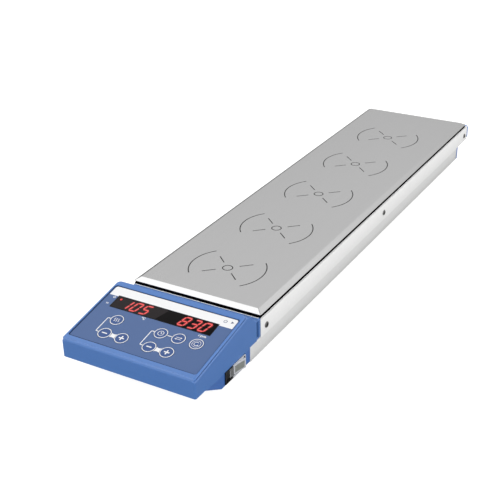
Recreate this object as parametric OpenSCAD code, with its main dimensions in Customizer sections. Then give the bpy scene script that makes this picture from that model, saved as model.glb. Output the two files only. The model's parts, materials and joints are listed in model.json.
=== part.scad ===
// Multi-position magnetic stirrer: a heated set-up plate on a low housing, with a control head in front.
// +X is to the right, +Y to the rear and +Z up; the origin is on the bench, under the middle of the stirrer.

/* [Layout] */
// Number of stirring positions
position_count = 5; // [3:1:5]
// Distance from one stirring position to the next
position_pitch = 80; // [72:1:100]
// Width of the plate, the housing and the control head
body_w = 112; // [110:1:130]

/* [Set-up plate] */
// From the plate's front edge to the first position
plate_front = 47; // [46:1:60]
// From the last position to the plate's rear edge
plate_rear = 80; // [74:1:100]
// Sheet thickness of the plate
plate_t = 1.5; // [1:0.1:2]
// Width of the bevelled border, seen from above
bevel_w = 4.1; // [3:0.1:5]
// Drop of the bevelled border
bevel_drop = 2.6; // [2.2:0.1:4]

/* [Position marks] */
// Radius of the small ring in the middle of a mark
mark_ring_r = 4.4; // [3:0.1:6]
// Inner end of a dash, from the middle of the mark
dash_in = 9.6; // [8:0.1:12]
// Outer end of a dash, from the middle of the mark
dash_out = 20.6; // [16:0.1:24]
// Radius of the two arcs
arc_r = 30.8; // [26:0.1:34]
// Half the angle that an arc spans, which is the angle of the dashes too
arc_half = 42; // [30:1:50]
// Width of an etched line
mark_line = 0.8; // [0.5:0.1:1.2]
// Depth of an etched line
mark_depth = 0.15; // [0.1:0.05:0.3]

/* [Housing] */
// Height of the feet
foot_h = 4.5; // [4:0.5:10]
// Radius of a foot
foot_r = 8; // [6:0.5:10]
// Height of the lower walls, which lean in
lower_h = 12.5; // [12:0.5:16]
// How far a lower wall leans in at the floor
lower_lean = 0.3; // [0.2:0.1:2.5]
// Height of the upright upper walls, up to the rim that carries the seal
upper_h = 16; // [15:0.5:24]
// Sheet thickness of the housing
wall_t = 1.2; // [0.8:0.1:1.5]
// How far behind the floor's front edge the upper walls start
front_step = 16; // [14:0.5:24]
// How far behind the floor's rear edge the upper walls end
rear_step = 30; // [20:1:34]
// Ledge between the plate's rear edge and the rear cap
rear_land = 6; // [4:0.5:10]
// Height of the seal under the plate
seal_h = 2.4; // [1.5:0.1:4]
// Width of the seal
seal_w = 6; // [4:0.5:7]
// Thickness of the carrier frame
carrier_t = 1; // [0.8:0.1:1.2]
// Width of the carrier frame's lip
carrier_w = 16; // [15:0.5:18]
// Open seam between the carrier frame's lip and the housing walls
lip_seam = 0.3; // [0.2:0.05:0.6]
// Wall of the blue rear cap
cap_t = 3.4; // [2.5:0.1:4]
// Radius of the bore that takes the mains lead
gland_r = 3.4; // [2.5:0.1:3.6]

/* [Control head] */
// From the head's front face to the front edge of the housing's floor
head_l = 72.3; // [71.5:0.1:80]
// From the head's front face to the rear edge of its cover
cover_l = 71.5; // [71:0.1:76]
// Height of the front face, from the lip's underside up to the plane of the membrane
head_front_h = 15; // [14:0.5:20]
// Depth of the front lip's underside
lip_depth = 11.7; // [10:0.1:14]
// From the front face to the front edge of the head's flat base
base_front = 32.7; // [28:0.1:33]
// How far the head's base is above the housing's underside
base_lift = 0.7; // [0.2:0.1:1.5]
// Wall of the blue mouldings of the head
head_t = 2.2; // [1.8:0.1:2.6]
// Radius of the head's upright front corners
corner_r = 1.5; // [1:0.5:6]
// Length of the collar between the head and the housing
collar_l = 6.3; // [4:0.1:8]
// How far the collar is set in from the head's sides
collar_inset = 0.8; // [0.4:0.1:1.2]
// Depth of the joint between cover and body, under the plane of the membrane
cover_joint = 2.5; // [2.2:0.1:3]

/* [Panel] */
// Slope of the panel
panel_slope = 10.4; // [8:0.2:12]
// From the head's front face to the panel's front edge
panel_inset = 5.8; // [5.4:0.1:7]
// Length of the panel up its slope
panel_l = 59; // [58:0.1:60]
// Width of the rim beside the panel
rim_w = 2; // [1.6:0.1:3]
// How much the rim's outer edges are cut off at the sides
rim_side = 0.6; // [0.3:0.1:1.2]
// Height of the rim above the membrane
rim_h = 0.5; // [0.3:0.1:1]
// Thickness of the membrane
membrane_t = 0.8; // [0.5:0.1:1]

/* [Keys] */
// Radius of a key
key_r = 5.15; // [4.5:0.05:5.6]
// Clearance round a key
key_gap = 0.3; // [0.2:0.05:0.5]
// How far a key stands above the membrane
key_proud = 0.2; // [0.1:0.05:0.4]
// How far a key goes down
key_travel = 0.4; // [0.2:0.05:0.5]
// Distance between neighbouring keys across the panel
key_pitch = 14.7; // [13.5:0.1:15.5]
// Distance between the two rows of keys
row_pitch = 15.1; // [13.5:0.1:16]
// Front row of keys, from the panel's front edge
row_front = 10.5; // [9:0.1:12]
// Left column of keys, from the panel's left edge
left_inset = 24.3; // [23:0.1:26]
// Right column of keys, from the panel's right edge
right_inset = 16.2; // [15:0.1:17]

/* [Displays] */
// Left edge of the window, from the panel's left edge
window_inset_left = 10.5; // [9.5:0.1:11]
// Right edge of the window, from the panel's right edge
window_inset_right = 11.9; // [10.5:0.1:12.5]
// Front edge of the window, from the panel's front edge
window_front = 36.4; // [35:0.1:37]
// Length of the window up the slope
window_l = 13.2; // [12.6:0.1:14]
// Thickness of the window
window_t = 1.3; // [1:0.1:1.6]
// Ledge that the window rests on
window_ledge = 1; // [0.8:0.1:1.2]
// Width of the temperature display
temperature_display_w = 24; // [22:0.5:26]
// Middle of the temperature display, from the window's left edge
temperature_display_inset = 20.7; // [20:0.1:22]
// Width of the speed display
speed_display_w = 35; // [30:0.5:36]
// Middle of the speed display, from the window's right edge
speed_display_inset = 21.5; // [20.5:0.1:22.5]
// Radius of the status light
light_r = 1.5; // [1:0.1:2]

/* [Power switch] */
// Middle of the switch, from the head's front face
switch_y = 51; // [50:0.1:52]
// Length of the switch
switch_l = 27.5; // [26.5:0.1:28]
// Height of the switch
switch_h = 10; // [9.5:0.1:10.2]
// How far the switch frame stands out of the side
switch_proud = 0.6; // [0.3:0.1:1]
// Depth of the switch frame behind the side
switch_depth = 17; // [14:0.5:18]
// Length of the rocker
rocker_l = 23.6; // [22:0.1:24]
// Height of the rocker
rocker_h = 8.2; // [7.6:0.1:8.4]
// How far each end of the level rocker stands out of the side
rocker_proud = 0.9; // [0.5:0.1:1.2]
// Tilt of the rocker in its on position
rocker_tilt = 8; // [5:0.5:9]
// Radius of the rocker's pivot pins
rocker_pin_r = 1.2; // [1:0.1:1.4]

/* [Heating] */
// Thickness of the heater mat
heater_t = 1.5; // [1:0.1:2]
// Thickness of the insulation sheet
insulation_t = 3; // [2:0.5:4]

/* [Drive units] */
// Distance of a post from the middle of its position
post_r = 19; // [18:0.5:21]
// Diameter of a steel post
post_d = 12; // [10:0.5:13]
// Radius of a bobbin's flanges
bobbin_r = 12; // [11:0.25:12.5]
// Height of a bobbin
bobbin_h = 16; // [10:0.5:17]
// Wall of a bobbin
bobbin_t = 0.8; // [0.6:0.1:1]
// Thickness of the yoke under the posts
yoke_t = 3; // [2:0.5:3]
// Radius of the yoke
yoke_r = 30; // [28:0.5:32]

/* [Boards] */
// Thickness of a circuit board
board_t = 1.6; // [1:0.1:2]
// Height of the drive board above the housing's floor
board_gap = 3; // [2.6:0.1:4]
// Depth of the keypad board's face under the membrane's face
keypad_depth = 8; // [7.5:0.1:8.5]

/* [Hidden] */
$fn = 64;
// Clearance between fixed pieces that slide into each other
fit = 0.2;
// Clearance between pieces that pass each other without touching
clear = 0.3;
// Radial clearance of the rocker's pins in their bores
pin_gap = 0.05;
// Radial clearance of a screw or stud in its hole
screw_gap = 0.1;
// Overlap of the solids that one moulding is made of
weld = 0.5;

blue = [0.29, 0.44, 0.69];
steel = [0.72, 0.72, 0.73];
white_paint = [0.9, 0.9, 0.9];
black = [0.08, 0.08, 0.08];
board_green = [0.1, 0.35, 0.2];
zinc = [0.7, 0.7, 0.68];

// Lengths, from the head's front face to the back of the rear cap
half_w = body_w / 2;
plate_l = plate_front + (position_count - 1) * position_pitch + plate_rear;
overall_l = head_l + front_step + plate_l + rear_land + cap_t;
y_head = -overall_l / 2;
y_floor0 = y_head + head_l;
y_wall0 = y_floor0 + front_step;
y_plate1 = y_wall0 + plate_l;
y_wall1 = y_plate1 + rear_land;
y_floor1 = y_wall1 - rear_step;
function position_y(i) = y_wall0 + plate_front + (i - 1) * position_pitch;

// Levels, from the bench up
z_floor = foot_h;
z_inside = z_floor + wall_t;
z_step = z_floor + lower_h;
z_rim = z_step + upper_h;
z_lip = z_rim - carrier_t;
z_wall = z_lip - lip_seam;
z_land = z_wall - carrier_t;
z_edge = z_rim + seal_h;
z_top = z_edge + bevel_drop;
z_under = z_top - plate_t;
z_heater = z_under - heater_t;
z_insulation = z_heater - insulation_t;
z_base = z_floor + base_lift;
headroom = 30;
above = z_top + headroom;

// Places inside the housing
x_inside = half_w - wall_t - fit;
tongue_l = 12;
stud_inset = 11;
x_stud = half_w - stud_inset;
stud_r = 2;
stud_rows = 4;
stud_margin = 30;
stud_step = (plate_l - 2 * stud_margin) / (stud_rows - 1);
stud_drop = 4.5;
nut_r = 4;
nut_h = 3.2;
side_screw_r = 1.4;
side_screw_head_r = 2.4;
side_screw_head_h = 0.9;
side_screw_l = 6;
side_screw_drop = 9.6;
side_screw_z = z_rim - side_screw_drop;
side_screw_inset = 8.2;
side_screw_ys = [y_wall0 + side_screw_inset, (y_wall0 + y_wall1) / 2, y_wall1 - side_screw_inset];
foot_inset = 18;
foot_front = 40;
foot_rear = 20;
foot_x = half_w - foot_inset;
foot_ys = [y_floor0 + foot_front, y_floor1 - foot_rear];
foot_screw_r = 2;
foot_screw_head_r = 3.6;
foot_recess = 2.5;
window_end = 12;
sheet_gap = 0.5;
y_sheet0 = y_wall0 + window_end + sheet_gap;
y_sheet1 = y_plate1 - window_end - sheet_gap;
sheet_w = body_w - 2 * carrier_w - 2 * sheet_gap;

// Sensors between the positions, which touch the plate through holes in the mat and the sheet
sensor_size = [12, 8];
sensor_h = 5.5;
sensor_y = position_y(1) + position_pitch / 2;
cutout_r = 8;
cutout_h = 7;
cutout_y = position_y(2) + position_pitch / 2;
sensor_gap = 1;

// Drive units and their board
z_board = z_inside + board_gap;
z_yoke = z_board + board_t;
z_post = z_yoke + yoke_t;
drive_margin = 35;
board_side = 11;
board_w = body_w - 2 * board_side;
y_board0 = position_y(1) - drive_margin;
y_board1 = position_y(position_count) + drive_margin;
spacer_r = 3;
spacer_inset = 5;
spacer_x = board_w / 2 - spacer_inset;
spacer_ys = concat([y_board0 + spacer_inset],
                   [for (i = [1:position_count - 1]) position_y(i) + position_pitch / 2],
                   [y_board1 - spacer_inset]);
small_screw_r = 1;
small_screw_head_r = 2;
small_screw_head_h = 1.2;
small_screw_l = 5;

// Mains side
gland_inset = 26;
x_gland = -half_w + gland_inset;
z_gland = z_floor + lower_h / 2 + clear;
gland_wall = 1.2;
gland_flange = 2.2;
gland_flange_t = 2.2;
gland_inside = 7;
gland_nut_r = 5.9;
gland_nut_t = 3.5;
loom_r = 2.5;
loom_inset = 7.5;
x_loom = -half_w + loom_inset;
supply_size = [66, 23, z_step - z_inside - clear];
supply_gap = 2.5;
y_supply1 = y_floor0 + supply_gap + supply_size[1];
x_supply0 = x_loom - loom_r;
terminal_size = [11, 15, 11];
terminal_gap = 4;
y_terminal = y_floor1 - terminal_gap - terminal_size[1];

// Control head, measured from its front face
y_back = head_l + front_step - collar_l;
panel_w = body_w - 2 * rim_w;
function z_panel(y) = z_step + head_front_h + y * tan(panel_slope);
function z_joint(y) = z_panel(y) - cover_joint / cos(panel_slope);
back_angle = atan2(z_joint(cover_l) - z_rim, y_back - cover_l);
back_t = head_t / sin(back_angle);
chin_turn = head_t * tan(atan2(z_step - z_base, base_front - lip_depth) / 2);
rim_chamfer = rim_w;

boss_r = 3;
cover_boss_h = 6;
cover_screw_r = 1.4;
cover_screw_head_r = 2.5;
cover_screw_head_h = 1.6;
cover_recess = 2;
front_boss_x = half_w - head_t - boss_r - clear;
front_boss_y = head_t + boss_r + clear;
rear_boss_inset = 22;
rear_boss_y = cover_l - back_t - boss_r - clear;
cover_bosses = [for (s = [-1, 1]) each [
    [s * front_boss_x, front_boss_y, z_step],
    [s * (half_w - rear_boss_inset), rear_boss_y, z_base]]];

// Keypad board and what is on it, in the panel's own frame
keypad_gap = 2;
keypad_under = keypad_depth + board_t;
keypad_v0 = 3;
keypad_y1 = rear_boss_y - boss_r - keypad_gap;
keypad_v1 = (keypad_y1 - panel_inset - keypad_under * sin(panel_slope)) / cos(panel_slope);
keypad_side = 6;
keypad_w = body_w - 2 * keypad_side;
keypad_boss_x = keypad_w / 2 - 2;
keypad_boss_r = 2.5;
keypad_bosses = [for (x = [-keypad_boss_x, keypad_boss_x]) for (v = [keypad_v0 + 2, keypad_v1 - 3]) [x, v]];
key_hole_r = key_r + key_gap;
key_skin = membrane_t - 0.05;
key_stem_r = 2;
key_stem_gap = 0.35;
key_floor = membrane_t + key_travel + 0.15;
key_switch_w = 6;
key_switch_top = cover_joint + 0.7;
key_stem_end = key_switch_top + 1.7;
key_switch_floor = key_stem_end + key_travel + 0.1;
window_left = -panel_w / 2 + window_inset_left;
window_right = panel_w / 2 - window_inset_right;
window_w = window_right - window_left;
temperature_display_u = window_left + temperature_display_inset;
speed_display_u = window_right - speed_display_inset;
display_l = window_l - 2 * window_ledge - 2 * fit;
display_v = window_front + window_l / 2;
display_top = window_t + 0.05;
light_u = window_left + 3.1;
light_v = window_front + 9.8;
row_rear = row_front + row_pitch;
temperature_u = -panel_w / 2 + left_inset;
speed_u = panel_w / 2 - right_inset - 2 * key_pitch;
keys = [["heat_key", temperature_u, row_rear],
        ["temperature_down_key", temperature_u, row_front],
        ["temperature_up_key", temperature_u + key_pitch, row_front],
        ["timer_key", speed_u, row_rear],
        ["reverse_key", speed_u + key_pitch, row_rear],
        ["stir_key", speed_u + 2 * key_pitch, row_rear],
        ["speed_down_key", speed_u, row_front],
        ["speed_up_key", speed_u + key_pitch, row_front]];

// Control board on the head's floor
control_side = 6;
control_switch_gap = 5;
control_x0 = -half_w + control_side;
control_x1 = half_w - switch_depth - control_switch_gap;
control_w = control_x1 - control_x0;
control_y0 = base_front + 3.3;
control_l = keypad_y1 - control_y0;
control_screw = 4;
control_gap = 2;
z_control = z_base + head_t + control_gap;
control_bosses = [for (x = [control_x0 + control_screw, control_x1 - control_screw])
                  for (y = [control_y0 + control_screw, control_y0 + control_l - control_screw]) [x, y]];
cable_t = 1;
ribbon_w = 20;
ribbon_x = control_x0 + 5;
ribbon_y = control_y0 + control_l / 2;
drive_cable_w = 20;
drive_cable_x = -10;
drive_cable_z = z_step + head_t + 1.5;

// Power switch in the right side of the head
z_switch = (z_base + z_step) / 2;
y_switch0 = y_head + switch_y - switch_l / 2;
y_switch1 = y_switch0 + switch_l;
rocker_pivot = 4.5;
rocker_gap = 0.3;
rocker_face = rocker_pivot + rocker_proud;
rocker_reach = (rocker_l / 2) * cos(rocker_tilt) + rocker_face * sin(rocker_tilt) + rocker_gap;

unit_names = ["drive_yoke_", "coil_bobbins_", "coil_windings_"];

// An outline in Y and Z, made into a block of this width about the middle
module side_prism(w) {
    translate([-w / 2, 0, 0]) rotate([90, 0, 90]) linear_extrude(w) children();
}

// An outline in X and Z, made into a bar that runs back from y
module end_prism(y, l) {
    translate([0, y + l, 0]) rotate([90, 0, 0]) linear_extrude(l) children();
}

// Places its child in the panel's own frame: across, up the slope and out of the membrane's face
module on_panel(u = 0, v = 0, out = 0) {
    translate([0, y_head + panel_inset, z_panel(panel_inset)]) rotate([panel_slope, 0, 0])
        translate([u, v, out]) children();
}

// A box between two corners
module box(low, high) {
    translate(low) cube(high - low);
}

// A rectangle with round corners that starts at the origin's line and runs up
module rounded_rect(w, l, r) {
    translate([-w / 2 + r, 0]) square([w - 2 * r, l]);
    translate([-w / 2, r]) square([w, l - 2 * r]);
    for (x = [-w / 2 + r, w / 2 - r]) for (y = [r, l - r]) translate([x, y]) circle(r);
}

// A block with a flat top and a bevel on all four sides
module bevelled_block(w, y, l, top, drop, bevel) {
    intersection() {
        end_prism(y, l)
            polygon([[-w / 2, top - drop], [w / 2, top - drop], [w / 2 - bevel, top], [-w / 2 + bevel, top]]);
        side_prism(w)
            polygon([[y, top - drop], [y + l, top - drop], [y + l - bevel, top], [y + bevel, top]]);
    }
}

// The etched mark of one position
module position_mark(h) {
    difference() {
        cylinder(h, r = mark_ring_r);
        translate([0, 0, -1]) cylinder(h + 2, r = mark_ring_r - mark_line);
    }
    for (a = [-arc_half, arc_half, 180 - arc_half, 180 + arc_half])
        rotate(a) translate([dash_in, -mark_line / 2, 0]) cube([dash_out - dash_in, mark_line, h]);
    for (side = [0, 180])
        rotate(side - arc_half) rotate_extrude(angle = 2 * arc_half)
            translate([arc_r - mark_line / 2, 0]) square([mark_line, h]);
}

module set_up_plate() {
    slant = bevel_w / bevel_drop;
    land = plate_t / sin(atan(1 / slant));
    below = 0.5;
    hollow = bevel_drop - plate_t + below;
    edge = land - below * slant;
    color(steel) difference() {
        bevelled_block(body_w, y_wall0, plate_l, z_top, bevel_drop, bevel_w);
        bevelled_block(body_w - 2 * edge, y_wall0 + edge, plate_l - 2 * edge, z_under,
                       hollow, hollow * slant);
        for (i = [1:position_count])
            translate([0, position_y(i), z_top - mark_depth]) position_mark(mark_depth + 1);
    }
}

module plate_seal() {
    inset = 0.6;
    color(black) difference() {
        box([-half_w + inset, y_wall0 + inset, z_rim], [half_w - inset, y_plate1 - inset, z_edge]);
        box([-half_w + inset + seal_w, y_wall0 + inset + seal_w, z_rim - 1],
            [half_w - inset - seal_w, y_plate1 - inset - seal_w, z_edge + 1]);
    }
}

// Where the plate's weld studs stand
module at_studs() {
    for (x = [-x_stud, x_stud]) for (i = [0:stud_rows - 1])
        translate([x, y_wall0 + stud_margin + i * stud_step, 0]) children();
}

module plate_studs() {
    low = z_lip - stud_drop;
    color(zinc) at_studs() translate([0, 0, low]) cylinder(z_under - low, r = stud_r);
}

module plate_nuts() {
    color(zinc) at_studs() translate([0, 0, z_lip - nut_h]) difference() {
        cylinder(nut_h, r = nut_r, $fn = 6);
        translate([0, 0, -1]) cylinder(nut_h + 2, r = stud_r + screw_gap);
    }
}

// The holes that let the sensor and the cut-out reach the plate
module sensor_holes() {
    translate([-sensor_size[0] / 2 - sensor_gap, sensor_y - sensor_size[1] / 2 - sensor_gap, 0])
        cube([sensor_size[0] + 2 * sensor_gap, sensor_size[1] + 2 * sensor_gap, above]);
    translate([0, cutout_y, 0]) cylinder(above, r = cutout_r + sensor_gap);
}

module heater_mat() {
    color([0.75, 0.3, 0.12]) difference() {
        box([-sheet_w / 2, y_sheet0, z_heater], [sheet_w / 2, y_sheet1, z_under]);
        sensor_holes();
    }
}

module insulation_sheet() {
    color([0.93, 0.92, 0.86]) difference() {
        box([-sheet_w / 2, y_sheet0, z_insulation], [sheet_w / 2, y_sheet1, z_heater]);
        sensor_holes();
    }
}

module temperature_sensor() {
    color([0.75, 0.76, 0.78]) difference() {
        box([-sensor_size[0] / 2, sensor_y - sensor_size[1] / 2, z_under - sensor_h],
            [sensor_size[0] / 2, sensor_y + sensor_size[1] / 2, z_under]);
        translate([0, sensor_y - sensor_size[1], z_under - sensor_h / 2]) rotate([-90, 0, 0])
            cylinder(sensor_size[1] * 1.5, r = 1.5);
    }
}

module thermal_cutout() {
    lug = [2, 6, 5];
    color([0.2, 0.2, 0.22]) translate([0, cutout_y, z_under - cutout_h]) {
        cylinder(cutout_h, r = cutout_r);
        for (s = [-1, 1])
            translate([s * cutout_r / 2 - lug[0] / 2, -lug[1] / 2, -lug[2]])
                cube([lug[0], lug[1], lug[2] + weld]);
    }
}

// The holes for the side screws, from the outside of both walls inwards
module side_screw_holes(r) {
    for (y = side_screw_ys)
        translate([-half_w - 1, y, side_screw_z]) rotate([0, 90, 0]) cylinder(body_w + 2, r = r);
}

// Its lip steps down behind the plate, to a land that is level with the tops of the walls
module carrier_frame() {
    leg_end = tongue_l + 1.5;
    leg_low = z_step + max(head_t, cap_t) + fit;
    color(white_paint) difference() {
        union() {
            box([-half_w, y_wall0, z_lip], [half_w, y_plate1, z_rim]);
            box([-x_inside, y_plate1 - carrier_t, z_land], [x_inside, y_plate1, z_lip + carrier_t / 2]);
            box([-x_inside, y_plate1 - carrier_t, z_land], [x_inside, y_wall1, z_wall]);
            for (x = [-x_inside, x_inside - 2 * carrier_t])
                box([x, y_wall0 + leg_end, leg_low],
                    [x + 2 * carrier_t, y_wall1 - leg_end, z_lip + carrier_t / 2]);
        }
        box([-half_w + carrier_w, y_wall0 + window_end, z_lip - 1],
            [half_w - carrier_w, y_plate1 - window_end, z_rim + 1]);
        at_studs() cylinder(above, r = stud_r + screw_gap);
        side_screw_holes(side_screw_r + screw_gap);
    }
}

module housing_shell() {
    color(white_paint) difference() {
        union() {
            end_prism(y_floor0, y_floor1 - y_floor0)
                polygon([[-half_w + lower_lean, z_floor], [half_w - lower_lean, z_floor],
                         [half_w, z_step], [-half_w, z_step]]);
            box([-half_w, y_wall0, z_step], [half_w, y_wall1, z_wall]);
        }
        end_prism(y_floor0 - 1, y_wall1 - y_floor0 + 2) trough_section(wall_t, z_inside, above);
        side_screw_holes(side_screw_r + 2 * screw_gap);
        for (x = [-foot_x, foot_x]) for (y = foot_ys)
            translate([x, y, 0]) cylinder(above, r = foot_screw_r + screw_gap);
    }
}

// The trough's cross-section between two levels, set in by this much from its outside
module trough_section(inset, low, high) {
    polygon([[-half_w + lower_lean + inset, low], [half_w - lower_lean - inset, low],
             [half_w - inset, z_step], [half_w - inset, high],
             [-half_w + inset, high], [-half_w + inset, z_step]]);
}

module side_screws() {
    socket_r = 1.2;
    socket_depth = 0.7;
    color([0.25, 0.25, 0.25]) for (s = [-1, 1]) for (y = side_screw_ys)
        translate([s * half_w, y, side_screw_z]) rotate([0, s * 90, 0]) difference() {
            union() {
                cylinder(side_screw_head_h, r = side_screw_head_r);
                translate([0, 0, -side_screw_l]) cylinder(side_screw_l + weld, r = side_screw_r);
            }
            translate([0, 0, side_screw_head_h - socket_depth]) cylinder(1, r = socket_r, $fn = 6);
        }
}

module rubber_feet() {
    color(black) for (x = [-foot_x, foot_x]) for (y = foot_ys) translate([x, y, 0]) difference() {
        cylinder(foot_h, r = foot_r);
        translate([0, 0, -1]) cylinder(foot_recess + 1, r = foot_screw_head_r + fit);
        cylinder(foot_h + 1, r = foot_screw_r + screw_gap);
    }
}

module foot_screws() {
    head_h = 1.8;
    tip = 2;
    color(zinc) for (x = [-foot_x, foot_x]) for (y = foot_ys) translate([x, y, foot_recess - head_h]) {
        cylinder(head_h, r = foot_screw_head_r);
        cylinder(z_inside + tip - foot_recess + head_h, r = foot_screw_r);
    }
}

module rear_cap() {
    cap_corner = 3;
    color(blue) difference() {
        union() {
            end_prism(y_wall1, cap_t) translate([0, z_step])
                rounded_rect(body_w, z_wall - z_step, cap_corner);
            box([-x_inside, y_floor1, z_step], [x_inside, y_wall1 + weld, z_step + cap_t]);
            end_prism(y_floor1, cap_t)
                polygon([[-half_w + lower_lean, z_floor + fit], [half_w - lower_lean, z_floor + fit],
                         [half_w, z_step], [-half_w, z_step]]);
            for (x = [-x_inside, x_inside - head_t])
                box([x, y_wall1 - tongue_l, z_step + weld], [x + head_t, y_wall1 + weld, z_land - fit]);
        }
        translate([x_gland, y_floor1 - 1, z_gland]) rotate([-90, 0, 0])
            cylinder(cap_t + 2, r = gland_r + gland_wall + screw_gap);
        side_screw_holes(side_screw_r + screw_gap);
    }
}

module mains_gland() {
    out = cap_t + gland_flange_t;
    color(black) translate([x_gland, y_floor1, z_gland]) rotate([-90, 0, 0]) difference() {
        union() {
            translate([0, 0, -gland_inside]) cylinder(gland_inside + out, r = gland_r + gland_wall);
            translate([0, 0, cap_t]) cylinder(gland_flange_t, r = gland_r + gland_flange);
        }
        translate([0, 0, -gland_inside - 1]) cylinder(gland_inside + out + 2, r = gland_r);
    }
}

module gland_nut() {
    color(black) translate([x_gland, y_floor1, z_gland]) rotate([90, 0, 0]) difference() {
        cylinder(gland_nut_t, r = gland_nut_r, $fn = 6);
        translate([0, 0, -1]) cylinder(gland_nut_t + 2, r = gland_r + gland_wall + screw_gap);
    }
}

module terminal_block() {
    ways = 3;
    way = terminal_size[1] / ways;
    color([0.2, 0.3, 0.25]) difference() {
        translate([x_loom - loom_r, y_terminal, z_inside]) cube(terminal_size);
        for (i = [0:ways - 1])
            translate([x_loom - loom_r + terminal_size[0] / 2, y_terminal + (i + 0.5) * way, z_inside + 5])
                cylinder(terminal_size[2], r = 1.6);
    }
}

module wiring_loom() {
    color([0.35, 0.35, 0.37]) translate([x_loom, y_supply1, z_inside + loom_r]) rotate([-90, 0, 0])
        cylinder(y_terminal - y_supply1, r = loom_r);
}

module power_supply() {
    color([0.12, 0.12, 0.14])
        translate([x_supply0, y_supply1 - supply_size[1], z_inside]) cube(supply_size);
}

module drive_board() {
    color(board_green) difference() {
        box([-board_w / 2, y_board0, z_board], [board_w / 2, y_board1, z_board + board_t]);
        at_spacers() cylinder(above, r = small_screw_r + screw_gap);
    }
}

module at_spacers() {
    for (x = [-spacer_x, spacer_x]) for (y = spacer_ys) translate([x, y, 0]) children();
}

module board_spacers() {
    color(zinc) at_spacers() translate([0, 0, z_inside]) difference() {
        cylinder(board_gap, r = spacer_r);
        translate([0, 0, -1]) cylinder(board_gap + 2, r = small_screw_r + screw_gap);
    }
}

// A small screw whose head lies on the plane z = 0 and whose shank points down
module small_screw(l) {
    cylinder(small_screw_head_h, r = small_screw_head_r);
    translate([0, 0, -l]) cylinder(l + small_screw_head_h / 2, r = small_screw_r);
}

module board_screws() {
    color(zinc) {
        at_spacers() translate([0, 0, z_board + board_t]) small_screw(board_t + board_gap - fit);
        for (p = control_bosses)
            translate([p[0], y_head + p[1], z_control + board_t]) small_screw(board_t + control_gap);
        for (p = keypad_bosses)
            on_panel(p[0], p[1], -keypad_under) rotate([180, 0, 0]) small_screw(small_screw_l);
    }
}

module drive_cable() {
    y0 = y_head + control_y0 + control_l - 2;
    y1 = y_board0 + 2;
    z1 = z_control + board_t;
    color([0.5, 0.5, 0.52]) translate([drive_cable_x + drive_cable_w / 2, 0, 0]) side_prism(drive_cable_w)
        polygon([[y0 - cable_t, z1], [y0, z1], [y0, drive_cable_z], [y1 - cable_t, drive_cable_z],
                 [y1 - cable_t, z_yoke], [y1, z_yoke], [y1, drive_cable_z + cable_t],
                 [y0 - cable_t, drive_cable_z + cable_t]]);
}

module drive_yoke(i) {
    color([0.45, 0.46, 0.48]) translate([0, position_y(i), 0]) {
        translate([0, 0, z_yoke]) cylinder(yoke_t, r = yoke_r);
        at_posts() translate([0, 0, z_post - weld]) cylinder(z_insulation - z_post + weld, d = post_d);
    }
}

module at_posts() {
    for (a = [45:90:315]) rotate(a) translate([post_r, 0, 0]) children();
}

module coil_bobbins(i) {
    bore = post_d / 2 + screw_gap;
    color([0.85, 0.82, 0.7]) translate([0, position_y(i), z_post]) at_posts() difference() {
        union() {
            cylinder(bobbin_t, r = bobbin_r);
            cylinder(bobbin_h, r = bore + bobbin_t);
            translate([0, 0, bobbin_h - bobbin_t]) cylinder(bobbin_t, r = bobbin_r);
        }
        translate([0, 0, -1]) cylinder(bobbin_h + 2, r = bore);
    }
}

module coil_windings(i) {
    inner = post_d / 2 + screw_gap + bobbin_t + 0.05;
    h = bobbin_h - 2 * bobbin_t;
    color([0.72, 0.4, 0.2]) translate([0, position_y(i), z_post + bobbin_t]) at_posts() difference() {
        cylinder(h, r = bobbin_r - 0.4);
        translate([0, 0, -1]) cylinder(h + 2, r = inner);
    }
}

// The head seen from above, with round front corners
module head_plan(l) {
    translate([-half_w, y_head + corner_r]) square([body_w, l - corner_r]);
    translate([-half_w + corner_r, y_head]) square([body_w - 2 * corner_r, l]);
    for (x = [-half_w + corner_r, half_w - corner_r]) translate([x, y_head + corner_r]) circle(corner_r);
}

// The outside of the head's body, seen from the side and measured from its front face
function body_outline() = [
    [0, z_step], [0, z_joint(0)], [cover_l, z_joint(cover_l)], [y_back, z_rim], [y_back, z_step],
    [head_l, z_step], [head_l, z_base], [base_front, z_base], [lip_depth, z_step]];

// The inside of the head's body, open at the top and at the rear
function body_hollow() = [
    [head_t, z_step + head_t], [head_t, above], [cover_l - back_t, above],
    [cover_l - back_t, z_joint(cover_l)], [y_back - back_t + head_t / tan(back_angle), z_rim - head_t],
    [y_back + 1, z_rim - head_t], [y_back + 1, z_step + head_t],
    [head_l - head_t, z_step + head_t], [head_l - head_t, z_base + head_t],
    [base_front + chin_turn, z_base + head_t], [lip_depth + chin_turn, z_step + head_t]];

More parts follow.
